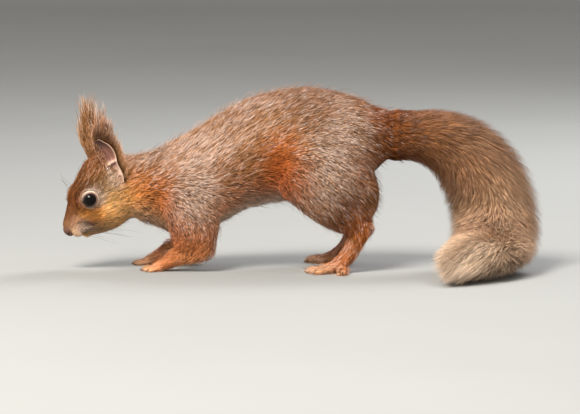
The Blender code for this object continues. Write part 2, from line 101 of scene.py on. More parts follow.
# %% [markdown]
# ## Camera, floor and light
#
# The squirrel is seen square from its left side, from a little above its own height. A long
# lens from far away keeps its proportions true, as a photographer with a telephoto would.
#
# The floor sweeps up behind into a backdrop with no edge. A large soft lamp over the
# squirrel's left shoulder models the form, and a pale sky fills the shadows.

# %% Camera
trunk_low, trunk_high = (np.array(corner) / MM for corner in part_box("trunk"))
MIDLINE = (trunk_low[1] + trunk_high[1]) / 2
AIM = np.array((-7.4, MIDLINE, 35.4))
CAMERA_DISTANCE = 2500.0
CAMERA_ELEVATION = math.radians(5.5)
LENS = 267.5


def placed(name, data):
    """A new object with this data, linked to the scene."""
    made = bpy.data.objects.new(name, data)
    bpy.context.scene.collection.objects.link(made)
    return made


def add_camera():
    """The camera stands back from its aim by the distance, raised by the elevation."""
    lens = bpy.data.cameras.new("camera")
    lens.sensor_width = 36.0
    lens.lens = LENS
    lens.clip_end = 20.0
    camera = placed("camera", lens)
    back = Vector((0.0, -math.cos(CAMERA_ELEVATION), math.sin(CAMERA_ELEVATION)))
    camera.location = Vector(AIM * MM) + back * CAMERA_DISTANCE * MM
    camera.rotation_euler = (-back).to_track_quat("-Z", "Y").to_euler()
    bpy.context.scene.camera = camera


add_camera()
print("midline at y", round(MIDLINE, 2), "mm")


# %% Meshes from arrays
def new_mesh(name, points, faces):
    """A mesh from points in millimetres and faces that all have the same number of corners."""
    mesh = bpy.data.meshes.new(name)
    mesh.vertices.add(len(points))
    mesh.vertices.foreach_set("co", (np.asarray(points) * MM).astype(np.float32).ravel())
    mesh.loops.add(faces.size)
    mesh.loops.foreach_set("vertex_index", faces.astype(np.int32).ravel())
    mesh.polygons.add(len(faces))
    mesh.polygons.foreach_set("loop_start", np.arange(len(faces), dtype=np.int32) * faces.shape[1])
    mesh.update(calc_edges=True)
    return mesh


def new_object(name, mesh, look=None):
    """The mesh as an object, shaded smooth."""
    made = placed(name, mesh)
    if look:
        mesh.materials.append(look)
    mesh.shade_smooth()
    return made


def grid_faces(rows, columns, closed=False):
    """Squares between neighbours of a grid; closed joins its last column to its first."""
    across = np.arange(columns if closed else columns - 1)
    i, j = np.meshgrid(np.arange(rows - 1), across, indexing="ij")
    k = (j + 1) % columns
    low = i * columns
    high = low + columns
    return np.stack((low + j, low + k, high + k, high + j), -1).reshape(-1, 4)


def halved(squares):
    """Each square as two triangles."""
    return np.concatenate((squares[:, (0, 1, 2)], squares[:, (0, 2, 3)]))


def closed_stack(rings):
    """A skin of triangles over a stack of closed rings, with a pole at each end."""
    count, around = rings.shape[:2]
    points = np.vstack((rings.reshape(-1, 3), rings[0].mean(0), rings[-1].mean(0)))
    j = np.arange(around)
    k = (j + 1) % around
    first = np.stack((k, j, np.full(around, count * around)), 1)
    last_row = (count - 1) * around
    last = np.stack((last_row + j, last_row + k, np.full(around, count * around + 1)), 1)
    faces = np.concatenate((halved(grid_faces(count, around, closed=True)), first, last))
    return points, outwards(points, faces)


def outwards(points, faces):
    """Turns a closed shell the right way round: the volume under its triangles has to be positive."""
    a, b, c = (points[faces[:, n]] for n in range(3))
    volume = (a * np.cross(b, c)).sum()
    return faces if volume > 0 else faces[:, ::-1]


def joined(shells):
    """Several (points, faces) shells as one."""
    starts = np.cumsum([0] + [len(points) for points, faces in shells[:-1]])
    points = np.concatenate([points for points, faces in shells])
    faces = np.concatenate([faces + start for start, (_, faces) in zip(starts, shells)])
    return points, faces


# %% Circles and mixtures
def circle(count):
    """Even angles once round."""
    return np.linspace(0, 2 * math.pi, count, endpoint=False)


def turned(angle, first, second):
    """The first direction turned towards the second: first × cos + second × sin."""
    return np.cos(angle) * first + np.sin(angle) * second


def mixed(first, second, share):
    """The first going over to the second by a share from 0 to 1."""
    return first * (1 - share) + second * share


# %% Floor
FLOOR_HALF = 3200.0
SWEEP_START, SWEEP_RADIUS, SWEEP_TOP = 3000.0, 600.0, 1200.0
PAPER_DARK, PAPER_PALE = (0.275, 0.275, 0.265), (0.305, 0.305, 0.295)


def material(name, roughness):
    """A material, its node tree and its shader's inputs, which the caller finishes."""
    made = bpy.data.materials.new(name)
    made.use_nodes = True
    inputs = made.node_tree.nodes["Principled BSDF"].inputs
    inputs["Roughness"].default_value = roughness
    return made, made.node_tree, inputs


def pattern_on_object(tree, scale, detail=4.0):
    """Noise at a scale, read in the object's own coordinates."""
    place = tree.nodes.new("ShaderNodeTexCoord")
    grain = tree.nodes.new("ShaderNodeTexNoise")
    grain.inputs["Scale"].default_value = scale
    grain.inputs["Detail"].default_value = detail
    tree.links.new(place.outputs["Object"], grain.inputs["Vector"])
    return grain


def mottled(name, roughness, scale, dark, pale, detail=4.0):
    """A finish whose colour wanders between two tints."""
    made, tree, inputs = material(name, roughness)
    grain = pattern_on_object(tree, scale, detail)
    ramp = tree.nodes.new("ShaderNodeValToRGB")
    ramp.color_ramp.elements[0].color = (*dark, 1.0)
    ramp.color_ramp.elements[1].color = (*pale, 1.0)
    tree.links.new(grain.outputs["Fac"], ramp.inputs["Fac"])
    tree.links.new(ramp.outputs["Color"], inputs["Base Color"])
    return made


def add_floor():
    """A floor that bends up by a quarter circle into a wall: one profile along Y, carried along X."""
    bend = np.linspace(0, math.pi / 2, 24)
    wall = SWEEP_START + SWEEP_RADIUS
    back = np.concatenate(((-FLOOR_HALF,), SWEEP_START + SWEEP_RADIUS * np.sin(bend), (wall,)))
    rise = np.concatenate(((0.0,), SWEEP_RADIUS * (1 - np.cos(bend)), (SWEEP_TOP,)))
    across = np.array((-FLOOR_HALF, FLOOR_HALF))
    points = np.stack((np.repeat(across, len(back)), np.tile(back, 2), np.tile(rise, 2)), 1)
    paper = mottled("backdrop_paper", 0.9, 4.0, PAPER_DARK, PAPER_PALE, detail=2.0)
    floor = new_object("floor", new_mesh("floor", points, grid_faces(2, len(back))[:, ::-1]), paper)
    floor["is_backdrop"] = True


add_floor()

# %% Lights
KEY_COLOUR, RIM_COLOUR, SKY_COLOUR = (1.0, 0.96, 0.90), (0.95, 0.97, 1.0), (1.0, 0.99, 0.97)
SKY_STRENGTH = 0.66


def add_lamp(name, place, size, watts, colour):
    """A square soft lamp that looks at the squirrel from place, in millimetres from it."""
    lamp = bpy.data.lights.new(name, "AREA")
    lamp.shape = "SQUARE"
    lamp.size = size * MM
    lamp.energy = watts
    lamp.color = colour
    holder = placed(name, lamp)
    holder.location = Vector((AIM + place) * MM)
    holder.rotation_euler = Vector(place).to_track_quat("Z", "Y").to_euler()


add_lamp("key", (-500.0, -900.0, 1150.0), 620, 42.0, KEY_COLOUR)
add_lamp("rim", (600.0, 800.0, 900.0), 500, 14.0, RIM_COLOUR)
sky = bpy.data.worlds.new("sky")
bpy.context.scene.world = sky
sky.use_nodes = True
sky_light = sky.node_tree.nodes["Background"].inputs
sky_light["Color"].default_value = (*SKY_COLOUR, 1.0)
sky_light["Strength"].default_value = SKY_STRENGTH

# %% [markdown]
# ## The animal's own axes
#
# The head is turned and tipped, so whatever belongs on it is easier to place in its own axes:
# how far back from the tip of the nose, how far to the right and how far up. The line between
# the two eyes gives the sideways axis, and the pitch and yaw of the muzzle give the others.

# %% Curves and frames
def unit(vectors):
    """Vectors scaled to length 1."""
    vectors = np.asarray(vectors, float)
    return vectors / np.maximum(np.linalg.norm(vectors, axis=-1, keepdims=True), 1e-9)


def smooth_rows(rows, count):
    """A Catmull-Rom curve through the rows of a table, read at count even steps."""
    rows = np.asarray(rows, float)
    padded = np.vstack((2 * rows[0] - rows[1], rows, 2 * rows[-1] - rows[-2]))
    place = np.linspace(0, len(rows) - 1, count)
    first = np.minimum(place.astype(int), len(rows) - 2)
    t = (place - first)[:, None]
    a, b, c, d = (padded[first + k] for k in range(4))
    return 0.5 * (2 * b + (c - a) * t + (2 * a - 5 * b + 4 * c - d) * t**2 + (3 * b - a - 3 * c + d) * t**3)


def bump(x, centre, width):
    """A smooth hill of height 1."""
    return np.exp(-(((x - centre) / width) ** 2))


def carried_axes(centres, first_axis):
    """Tangents of a path, and one axis carried along it without twist."""
    tangents = unit(np.gradient(centres, axis=0))
    axes = [unit(np.asarray(first_axis) - np.dot(first_axis, tangents[0]) * tangents[0])]
    for tangent in tangents[1:]:
        axes.append(unit(axes[-1] - np.dot(axes[-1], tangent) * tangent))
    return tangents, np.array(axes)


def middle(node):
    """The middle of a solid's box, in millimetres."""
    low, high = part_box(node)
    return np.array((low + high) / 2) / MM


def read_off(table, x):
    """The second column of a table at x, read between its rows."""
    return np.interp(x, *np.array(table).T)


HEAD_PITCH = math.radians(45)
HEAD_YAW = math.radians(20)
EYE = np.array((21.1, 10.3, 6.2))  # back, side, up
EYE_RADIUS = 4.4


def head_axes():
    """Back, right and up axes of the head as the three rows of a matrix."""
    forward = -np.array((
        math.cos(HEAD_PITCH) * math.cos(HEAD_YAW),
        math.cos(HEAD_PITCH) * math.sin(HEAD_YAW),
        math.sin(HEAD_PITCH),
    ))
    right = unit(middle("eye_right") - middle("eye_left"))
    return np.array((-forward, right, np.cross(right, forward)))


HEAD_AXES = head_axes()
NOSE_TIP = (middle("eye_left") + middle("eye_right")) / 2 - np.array((EYE[0], 0, EYE[2])) @ HEAD_AXES


def head_point(spots):
    """From back, side, up on the head to the frame's axes."""
    return NOSE_TIP + np.asarray(spots, float) @ HEAD_AXES


def on_head(points):
    """From the frame's axes to back, side, up on the head."""
    return (np.asarray(points) - NOSE_TIP) @ HEAD_AXES.T


print("tip of the nose", NOSE_TIP.round(1), "mm")

# %% [markdown]
# ## The groom
#
# A coat is described by a few places on the body. At each one the maker notes which way the
# hair lies, how long it is, how deep the coat stands off the skin, its colour, and how many
# of its tips are silvered. Everything between those places is a soft blend of the nearest
# ones. Painting a map by hand would do the same, but a short table is easier to correct, and
# the skin and every lock of hair can read the same one, so their markings always agree.

# %% Tints of the coat
def linear(red, green, blue):
    """A screen colour, 0 to 255, as the linear colour that a shader takes."""
    share = np.array((red, green, blue)) / 255
    return np.where(share <= 0.04045, share / 12.92, ((share + 0.055) / 1.055) ** 2.4)


TINTS = {
    "umber": linear(92, 46, 20),
    "mahogany": linear(122, 62, 28),
    "bark": linear(118, 66, 30),
    "cocoa": linear(136, 86, 48),
    "taupe": linear(142, 100, 62),
    "chestnut": linear(148, 90, 50),
    "russet": linear(162, 86, 42),
    "rust": linear(192, 90, 22),
    "fox": linear(184, 108, 52),
    "ginger": linear(208, 116, 50),
    "copper": linear(214, 132, 72),
    "flame": linear(236, 146, 82),
    "peach": linear(246, 184, 132),
    "ochre": linear(220, 150, 72),
    "amber": linear(240, 164, 82),
    "gold": linear(242, 188, 116),
    "straw": linear(255, 208, 136),
    "hazel": linear(168, 114, 70),
    "dun": linear(170, 124, 92),
    "oat": linear(180, 142, 100),
    "fawn": linear(190, 138, 94),
    "sand": linear(200, 150, 112),
    "wheat": linear(210, 162, 126),
    "buff": linear(226, 186, 146),
    "cream": linear(234, 210, 186),
    "pearl": linear(242, 218, 198),
    "silver": linear(242, 224, 214),
}

# For each solid: how far along, out and up on its box; lie of the hair (back, out, up);
# length of the hair and depth of the coat in mm; tint; share of silvered tips; reach in mm
# The silvered tips are partly the coat's own pale tips and partly painted sheen.
BODY_GROOM = {
    "neck": (
        ((0.5, 0.0, 1.0), (1, 0, 0.60), 9.5, 4.4, "dun", 0.52, 11),
        ((0.4, 0.9, 0.78), (1, 0, 0.55), 8.5, 3.8, "dun", 0.48, 7),
        ((0.75, 1.0, 0.66), (1, 0, 0.60), 8.5, 3.8, "wheat", 0.60, 5),
        ((0.3, 1.0, 0.50), (1, 0, 0.10), 7.0, 3.0, "fox", 0.04, 5.5),
        ((0.8, 1.0, 0.35), (0.95, 0, -0.15), 7.5, 3.2, "ginger", 0.06, 7),
        ((0.5, 0.6, 0.1), (0.9, 0, -0.3), 7.0, 3.0, "amber", 0.06, 8),
        ((0.5, 0.0, 0.0), (0.8, 0, -0.5), 7.0, 3.0, "cream", 0.1, 9),
    ),
    "trunk": (
        ((0.06, 0.4, 0.62), (1, 0, 0.75), 9.0, 4.4, "sand", 0.50, 9),
        ((0.16, 0.0, 0.72), (1, 0, 0.80), 9.5, 4.6, "fawn", 0.44, 11),
        ((0.28, 0.3, 0.85), (1, 0, 0.80), 9.5, 4.6, "dun", 0.42, 12),
        ((0.45, 0.3, 0.98), (1, 0, 0.60), 9.0, 4.4, "dun", 0.30, 13),
        ((0.66, 0.3, 1.0), (1, 0, 0.05), 9.0, 4.4, "dun", 0.32, 12),
        ((0.78, 0.3, 0.94), (1, 0, -0.30), 9.0, 4.4, "fawn", 0.40, 8),
        ((0.60, 0.9, 0.84), (1, 0, 0.60), 9.0, 4.4, "dun", 0.36, 8),
        # painted highlight on the rump: pale hair with many silvered tips where the coat catches the light
        ((0.75, 0.95, 0.74), (1, 0, -0.50), 9.0, 4.4, "wheat", 0.66, 7),
        ((0.87, 0.3, 0.86), (1, 0, -0.45), 9.0, 4.2, "russet", 0.22, 9),
        ((0.90, 0.8, 0.66), (0.9, 0, -0.60), 9.0, 4.2, "chestnut", 0.08, 9),
        ((1.0, 0.4, 0.76), (1, 0, -0.15), 9.0, 4.6, "chestnut", 0.10, 10),
        # painted shade under the base of the tail
        ((0.98, 0.2, 0.5), (0.9, 0, -0.6), 9.0, 4.4, "umber", 0.0, 8),
        ((0.15, 0.8, 0.56), (1, 0, 0.62), 9.0, 4.2, "wheat", 0.60, 11),
        ((0.28, 0.95, 0.62), (1, 0, 0.80), 9.0, 4.2, "sand", 0.48, 10),
        ((0.40, 0.95, 0.72), (1, 0, 0.78), 9.0, 4.2, "fawn", 0.24, 11),
        ((0.26, 0.9, 0.42), (1, 0, 0.75), 8.5, 4.0, "chestnut", 0.24, 6),
        ((0.33, 0.9, 0.42), (1, 0, 0.72), 8.5, 4.0, "hazel", 0.14, 8),
        ((0.39, 0.9, 0.50), (1, 0, 0.70), 8.5, 4.0, "hazel", 0.10, 7),
        ((0.455, 0.9, 0.48), (1, 0, 0.30), 8.5, 4.0, "rust", 0.0, 6.5),
        ((0.475, 0.9, 0.60), (1, 0, 0.60), 8.5, 4.0, "ginger", 0.05, 5.5),
        ((0.37, 0.75, 0.28), (1, 0, 0.30), 8.5, 3.6, "ginger", 0.0, 7),
        ((0.30, 0.8, 0.20), (1, 0, 0.25), 8.5, 3.6, "copper", 0.0, 5),
        ((0.42, 0.8, 0.33), (1, 0, 0.20), 8.5, 3.6, "ginger", 0.0, 5),
        ((0.38, 0.3, 0.16), (0.75, 0, -0.7), 13.0, 4.4, "pearl", 0.5, 9),
        ((0.40, 0.0, 0.12), (0.9, 0, -0.45), 9.5, 3.6, "cream", 0.2, 12),
        ((0.20, 0.0, 0.03), (0.8, 0, -0.4), 9.0, 3.4, "cream", 0.2, 12),
        ((0.62, 0.3, 0.24), (1, 0, -0.2), 8.5, 3.4, "cream", 0.1, 12),
        # painted shade low between the thighs
        ((0.86, 0.2, 0.36), (0.9, 0, -0.3), 8.5, 3.6, "umber", 0.0, 9),
    ),
    "thigh": (
        ((-0.06, 0.6, 0.62), (1, 0, 0.05), 8.5, 4.0, "rust", 0.0, 6),
        ((0.04, 0.8, 0.45), (0.85, 0, -0.60), 8.5, 4.0, "rust", 0.0, 7),
        ((0.20, 0.9, 0.50), (0.85, 0, -0.60), 8.5, 4.0, "ginger", 0.14, 7),
        ((0.10, 0.8, 0.80), (1, 0, 0.25), 8.5, 4.0, "fawn", 0.20, 7),
        ((0.42, 1.0, 0.28), (0.75, 0, -0.72), 9.0, 4.2, "sand", 0.80, 7),
        ((0.52, 1.0, 0.55), (0.80, 0, -0.70), 9.0, 4.4, "wheat", 0.70, 10),
        # painted highlight on the top of the thigh: pale hair with many silvered tips
        ((0.66, 0.7, 0.88), (0.90, 0, -0.62), 9.0, 4.4, "wheat", 0.66, 9),
        ((0.86, 0.8, 0.66), (0.82, 0, -0.66), 9.0, 4.2, "russet", 0.18, 8),
        ((1.0, 0.5, 0.60), (0.75, 0, -0.70), 9.0, 4.2, "sand", 0.30, 7),
        ((0.98, 0.5, 0.30), (0.60, 0, -0.80), 8.5, 4.0, "hazel", 0.20, 8),
        ((0.64, 1.0, 0.16), (0.72, 0, -0.70), 9.0, 4.0, "mahogany", 0.18, 8),
        ((0.40, 0.0, 0.40), (0.6, 0, -0.7), 7.5, 3.2, "cream", 0.0, 8),
    ),
    "shank": (
        ((-0.02, 0.7, 0.75), (0.7, 0, -0.65), 8.5, 3.6, "rust", 0.02, 7),
        ((0.30, 1.0, 0.50), (0.66, 0, -0.75), 8.5, 3.8, "russet", 0.08, 8),
        ((0.62, 1.0, 0.30), (0.5, 0, -0.85), 8.5, 3.6, "mahogany", 0.04, 8),
        # painted shade under the shank
        ((0.45, 0.6, 0.02), (0.6, 0, -0.75), 8.0, 3.2, "umber", 0.0, 8),
        ((0.92, 0.7, 0.20), (0.15, 0, -1.0), 6.0, 1.9, "ginger", 0.25, 5.5),
        ((0.40, 0.0, 0.20), (0.5, 0, -0.8), 7.0, 2.8, "gold", 0.0, 8),
    ),
    "upper_arm": (
        ((0.02, 0.7, 0.55), (0.9, 0, -0.30), 8.0, 3.4, "ginger", 0.0, 5.5),
        ((0.28, 1.0, 0.58), (0.85, 0, -0.50), 8.5, 3.6, "cream", 0.90, 6.5),
        ((0.16, 0.8, 0.42), (0.75, 0, -0.65), 8.0, 3.2, "rust", 0.02, 7),
        ((0.25, 0.9, 0.16), (0.45, 0, -0.85), 6.5, 2.8, "rust", 0.0, 6),
        ((0.10, 0.6, 0.92), (0.9, 0, 0.40), 8.5, 3.8, "copper", 0.25, 6),
        ((0.45, 1.0, 0.80), (0.95, 0, -0.25), 9.0, 4.0, "wheat", 0.66, 8),
        ((0.55, 1.0, 0.55), (0.75, 0, -0.60), 8.5, 3.8, "sand", 0.55, 7),
        ((0.92, 0.8, 0.88), (0.95, 0, 0.30), 8.5, 3.8, "sand", 0.35, 7),
        ((0.95, 0.6, 0.45), (0.5, 0, -0.70), 7.0, 3.2, "ginger", 0.12, 7),
        ((0.55, 1.0, 0.34), (0.60, 0, -0.78), 8.0, 3.2, "russet", 0.26, 7),
        ((0.55, 0.9, 0.08), (-0.4, 0, -0.9), 5.5, 2.6, "ginger", 0.05, 6),
        ((0.92, 0.7, 0.10), (-0.8, 0, -0.6), 4.5, 2.4, "ginger", 0.10, 6),
        ((0.50, 0.0, 0.35), (0.4, 0, -0.9), 7.0, 2.8, "cream", 0.0, 8),
    ),
    "forearm": (
        ((0.92, 0.7, 0.5), (-0.9, 0, -0.45), 4.2, 2.0, "copper", 0.05, 6),
        ((0.55, 0.9, 0.7), (-0.7, 0, -0.65), 5.0, 2.0, "flame", 0.05, 6),
        ((0.20, 0.7, 0.6), (-0.9, 0, -0.35), 4.2, 1.6, "flame", 0.10, 6),
        ((0.50, 0.0, 0.4), (-0.7, 0, -0.5), 5.0, 1.8, "gold", 0.0, 6),
    ),
    "fore_foot": (
        ((0.75, 0.5, 0.9), (-1, 0, -0.25), 3.0, 0.9, "flame", 0.20, 5),
        ((0.25, 0.5, 0.6), (-1, 0, -0.05), 2.0, 0.5, "peach", 0.25, 5),
    ),
    "hind_foot": (
        ((0.90, 0.3, 0.80), (-0.1, 0, -1.0), 5.0, 1.4, "copper", 0.45, 7),
        ((0.62, 0.3, 0.30), (-0.6, 0, -0.8), 5.0, 1.1, "flame", 0.55, 6),
        ((0.20, 0.5, 0.15), (-1, 0, -0.1), 3.6, 0.6, "peach", 0.55, 7),
    ),
}

# Back, side, up on the head; the rest as above, with the lie in the head's axes
HEAD_GROOM = (
    ((0.5, 0.0, 4.5), (1, 0, 0.5), 1.2, 0.30, "taupe", 0.0, 2.0),
    ((1.5, 3.5, -5.0), (0.9, 0.3, -0.3), 1.2, 0.30, "buff", 0.0, 2.0),
    ((6.0, 0.0, 7.0), (1, 0, 0.35), 2.4, 0.7, "cocoa", 0.0, 3.0),
    ((11.0, 3.0, 9.6), (1, 0, 0.35), 2.8, 0.8, "bark", 0.0, 3.6),
    ((6.6, 5.0, -0.6), (1, 0.2, 0.1), 2.2, 0.7, "sand", 0.08, 2.6),
    ((7.0, 7.2, -5.2), (0.95, 0.2, -0.3), 2.2, 0.8, "pearl", 0.40, 2.7),
    # The next five rows lay dark hair along the fold above the whisker pad and along the mouth line: painted
    # shade in those folds.
    ((9.6, 8.0, -2.4), (1, 0.1, -0.4), 1.8, 0.5, "umber", 0.0, 1.7),
    ((12.4, 9.2, -5.8), (1, 0.1, -0.4), 1.8, 0.5, "mahogany", 0.0, 1.9),
    ((8.0, 6.6, -9.4), (1, 0.1, -0.1), 1.8, 0.5, "mahogany", 0.0, 1.5),
    ((12.5, 8.2, -12.6), (1, 0.1, -0.1), 1.8, 0.5, "umber", 0.0, 1.6),
    ((17.0, 9.6, -15.4), (1, 0.1, -0.1), 2.2, 0.6, "umber", 0.0, 1.8),
    ((6.0, 3.0, -12.0), (0.95, 0.1, -0.1), 2.2, 0.7, "gold", 0.0, 3.4),
    ((15.5, 4.0, 12.2), (1, 0, 0.3), 3.2, 1.0, "bark", 0.0, 4.4),
    ((14.5, 8.6, 7.0), (1, 0.25, 0.25), 2.8, 0.9, "mahogany", 0.0, 3.0),
    ((13.0, 9.0, 2.0), (1, 0.2, 0.0), 2.6, 0.8, "ochre", 0.0, 2.6),
    ((23.0, 4.0, 16.4), (1, 0, 0.2), 3.8, 1.3, "cocoa", 0.14, 6.0),
    ((23.0, 10.5, 13.4), (1, 0, 0.25), 3.2, 1.0, "taupe", 0.12, 3.6),
    ((31.0, 3.0, 19.0), (1, 0, 0.05), 4.6, 1.7, "cocoa", 0.12, 6.0),
    ((37.0, 3.0, 18.5), (1, 0, 0.05), 5.0, 1.8, "chestnut", 0.08, 5.0),
    ((31.0, 13.0, 9.0), (1, 0, 0.2), 4.0, 1.4, "taupe", 0.14, 4.6),
    ((30.0, 14.0, 2.0), (1, 0, -0.05), 4.0, 1.4, "oat", 0.16, 4.0),
    ((17.0, 11.0, -4.0), (1, 0.1, -0.25), 3.0, 1.0, "amber", 0.0, 4.0),
    ((27.0, 14.5, -5.0), (1, 0, -0.30), 4.2, 1.5, "gold", 0.20, 5.0),
    ((34.0, 15.0, -6.0), (1, 0, -0.35), 4.6, 1.6, "gold", 0.15, 5.0),
    ((22.0, 12.0, -12.0), (1, 0, -0.30), 3.8, 1.3, "gold", 0.15, 5.0),
    ((20.5, 11.0, -17.5), (1, 0, -0.2), 3.8, 1.3, "straw", 0.1, 3.6),
    ((28.0, 13.0, -18.0), (1, 0, -0.15), 4.6, 1.6, "straw", 0.1, 5.0),
    ((14.0, 5.0, -17.5), (1, 0, 0.0), 3.2, 1.0, "gold", 0.0, 4.4),
    ((24.0, 4.0, -23.5), (1, 0, 0.0), 4.6, 1.6, "cream", 0.0, 6.0),
    ((38.0, 8.0, -24.0), (1, 0, 0.1), 6.0, 2.2, "cream", 0.1, 7.0),
    ((36.5, 15.0, 3.5), (0.9, 0, -0.45), 4.0, 1.4, "pearl", 0.5, 3.0),
    ((43.0, 15.5, -1.0), (0.9, 0, -0.45), 5.0, 1.8, "copper", 0.10, 3.4),
    ((40.0, 15.0, -12.0), (0.95, 0, -0.35), 5.5, 2.2, "amber", 0.06, 6.0),
    ((46.0, 14.0, -12.0), (1, 0, -0.35), 6.5, 2.8, "ginger", 0.06, 6.0),
    ((50.0, 12.0, 0.0), (1, 0, -0.2), 7.0, 3.0, "hazel", 0.12, 4.6),
    ((48.0, 4.0, 16.0), (1, 0, 0.1), 8.0, 2.8, "dun", 0.35, 6.0),
    ((54.0, 6.0, 6.0), (1, 0, 0.0), 8.5, 3.4, "fawn", 0.50, 7.0),
)

# %% Blend between the places
def body_spots(node, shares):
    """The left and right places of one row: a pair of limbs has its own boxes, the middle is mirrored."""
    paired = node + "_left" in frame["nodes"]
    spots = []
    for word, side in (("left", -1.0), ("right", 1.0)):
        low, high = (np.array(corner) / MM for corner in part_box(f"{node}_{word}" if paired else node))
        spot = low + np.array(shares) * (high - low)
        inner, outer = (low[1], high[1]) if side > 0 else (high[1], low[1])
        if paired:
            spot[1] = inner + shares[1] * (outer - inner)
        else:
            spot[1] = MIDLINE + side * shares[1] * (high[1] - MIDLINE)
        spots.append((spot, side))
    return spots


EYE_LOOK = (-0.22, 0.94, 0.22)  # the way each eye looks: back, side, up
LID_PLACES = 10
LID_HAIR = (1.6, 0.35, 0.5, 1.7)  # length, depth, silver and reach round the eye
LID_AHEAD, LID_FRONT, LID_BEHIND = 2.2, 5.3, 5.9  # ahead of the eye's middle, and out from its axis


def eye_axes(side):
    """Middle of the eyeball, the way it looks, and two directions across."""
    centre = middle("eye_left" if side < 0 else "eye_right")
    look = unit(np.array(EYE_LOOK) * (1, side, 1)) @ HEAD_AXES
    ahead = unit(-HEAD_AXES[0] + HEAD_AXES[0] @ look * look)
    return centre, look, ahead, np.cross(look, ahead)


def read_groom():
    """The two tables as arrays: place, lie, (length, depth, silver, reach) and colour."""
    rows = []

    def note(spot, lie, length, depth, tint, silver, reach):
        rows.append((spot, unit(lie), (length, depth, silver, reach), TINTS[tint]))

    for node, table in BODY_GROOM.items():
        for shares, lie, *sizes in table:
            for spot, side in body_spots(node, shares):
                note(spot, np.array(lie) * (1, side, 1), *sizes)
    for shares, lie, *sizes in HEAD_GROOM:
        for side in (-1, 1):
            flip = np.array((1, side, 1))
            note(head_point(shares * flip), (lie * flip) @ HEAD_AXES, *sizes)
    length, depth, silver, reach = LID_HAIR
    for side in (-1, 1):
        centre, look, ahead, across = eye_axes(side)
        for turn in circle(LID_PLACES):
            outward = math.cos(turn) * ahead + math.sin(turn) * across
            behind = math.cos(turn) < 0.2
            spot = centre + look * LID_AHEAD + outward * (LID_BEHIND if behind else LID_FRONT)
            lie = outward + 0.25 * HEAD_AXES[0]
            note(spot, lie, length, depth, "silver" if behind else "sand", silver, reach)
    return tuple(np.array(column, float) for column in zip(*rows))


GROOM_SPOTS, GROOM_LIES, GROOM_SIZES, GROOM_TINTS = read_groom()


def groom_at(points):
    """Lie, (length, depth, silver) and colour at points: each place weighs exp(-distance² / 2 reach²)."""
    points = np.asarray(points, np.float32)
    spots = GROOM_SPOTS.astype(np.float32)
    squared = (points**2).sum(1)[:, None] - 2 * points @ spots.T + (spots**2).sum(1)
    power = -squared / (2 * GROOM_SIZES[:, 3].astype(np.float32) ** 2)
    weight = np.exp(power - power.max(1, keepdims=True))
    weight /= weight.sum(1, keepdims=True)
    return weight @ GROOM_LIES, weight @ GROOM_SIZES[:, :3], weight @ GROOM_TINTS


print(len(GROOM_SPOTS), "places in the groom")

# %% [markdown]
# ## The bare form
#
# A taxidermist's form is the animal without its coat. It could be sculpted, but the solids
# already hold the right outline, so here they are melted into one closed surface and drawn in
# by the depth of the coat at each place. The head gets a finer surface of its own, a loft of
# egg-shaped rings with swellings for cheeks, brows and whisker pads, because short hair hides
# little. The tail inside its bush is thin: a tapering cord of bone and muscle.

# %% Remeshing
VOXEL = 0.8
HEAD_VOXEL = 0.6
FOOT_VOXEL = 0.55


def read_mesh(mesh, corners):
    """Points in millimetres and faces of a mesh whose faces all have that many corners."""
    points = np.empty(len(mesh.vertices) * 3, np.float32)
    mesh.vertices.foreach_get("co", points)
    faces = np.empty(len(mesh.loops), np.int32)
    mesh.loops.foreach_get("vertex_index", faces)
    return points.reshape(-1, 3).astype(float) / MM, faces.reshape(-1, corners)


def applied(rough, corners):
    """What an object's modifiers make of it, as points and faces; the object itself goes."""
    mesh = bpy.data.meshes.new_from_object(rough.evaluated_get(bpy.context.evaluated_depsgraph_get()))
    bpy.data.objects.remove(rough)
    return read_mesh(mesh, corners)


def remeshed(points, faces, voxel, softness=0, grow=0.0):
    """One closed surface of squares round everything given, softened by averaging with neighbours."""
    rough = new_object("rough", new_mesh("rough", points, faces))
    if grow:
        swell = rough.modifiers.new("grow", "DISPLACE")
        swell.mid_level = 0.0
        swell.strength = grow * MM
    skin = rough.modifiers.new("skin", "REMESH")
    skin.mode = "VOXEL"
    skin.voxel_size = voxel * MM
    soften = rough.modifiers.new("soften", "SMOOTH")
    soften.factor = 0.5
    soften.iterations = softness
    return applied(rough, 4)


def largest_shell(points, faces):
    """Only the shell with the most points: labels spread over shared faces until they settle."""
    label = np.arange(len(points))
    settled = False
    while not settled:
        spread = label.copy()
        np.minimum.at(spread, faces.ravel(), np.repeat(label[faces].min(1), faces.shape[1]))
        spread = spread[spread]
        settled = (spread == label).all()
        label = spread
    kept = label == np.bincount(label).argmax()
    new_place = np.cumsum(kept) - 1
    return points[kept], new_place[faces[kept[faces[:, 0]]]]


def face_normals(points, faces):
    """Cross product of the two diagonals of squares, or of two edges of triangles: twice the area long."""
    a, b, c = (points[faces[:, n]] for n in range(3))
    d = points[faces[:, -1]]
    return np.cross(c - a, d - b) if faces.shape[1] == 4 else np.cross(b - a, c - a)


def vertex_normals(points, faces):
    """The mean of the normals of the faces round each point, each weighted by its area."""
    normals = face_normals(points, faces)
    total = np.zeros_like(points)
    for corner in faces.T:
        for axis in range(3):
            total[:, axis] += np.bincount(corner, normals[:, axis], len(points))
    return unit(total)


def merged_solids(names):
    """Copies of solids with their loose triangles merged, as one set of points and triangles."""
    work = bmesh.new()
    for name in names:
        work.from_mesh(frame["nodes"][name].data)
    bmesh.ops.remove_doubles(work, verts=work.verts, dist=0.000001)
    mesh = bpy.data.meshes.new("solids")
    work.to_mesh(mesh)
    work.free()
    return read_mesh(mesh, 3)


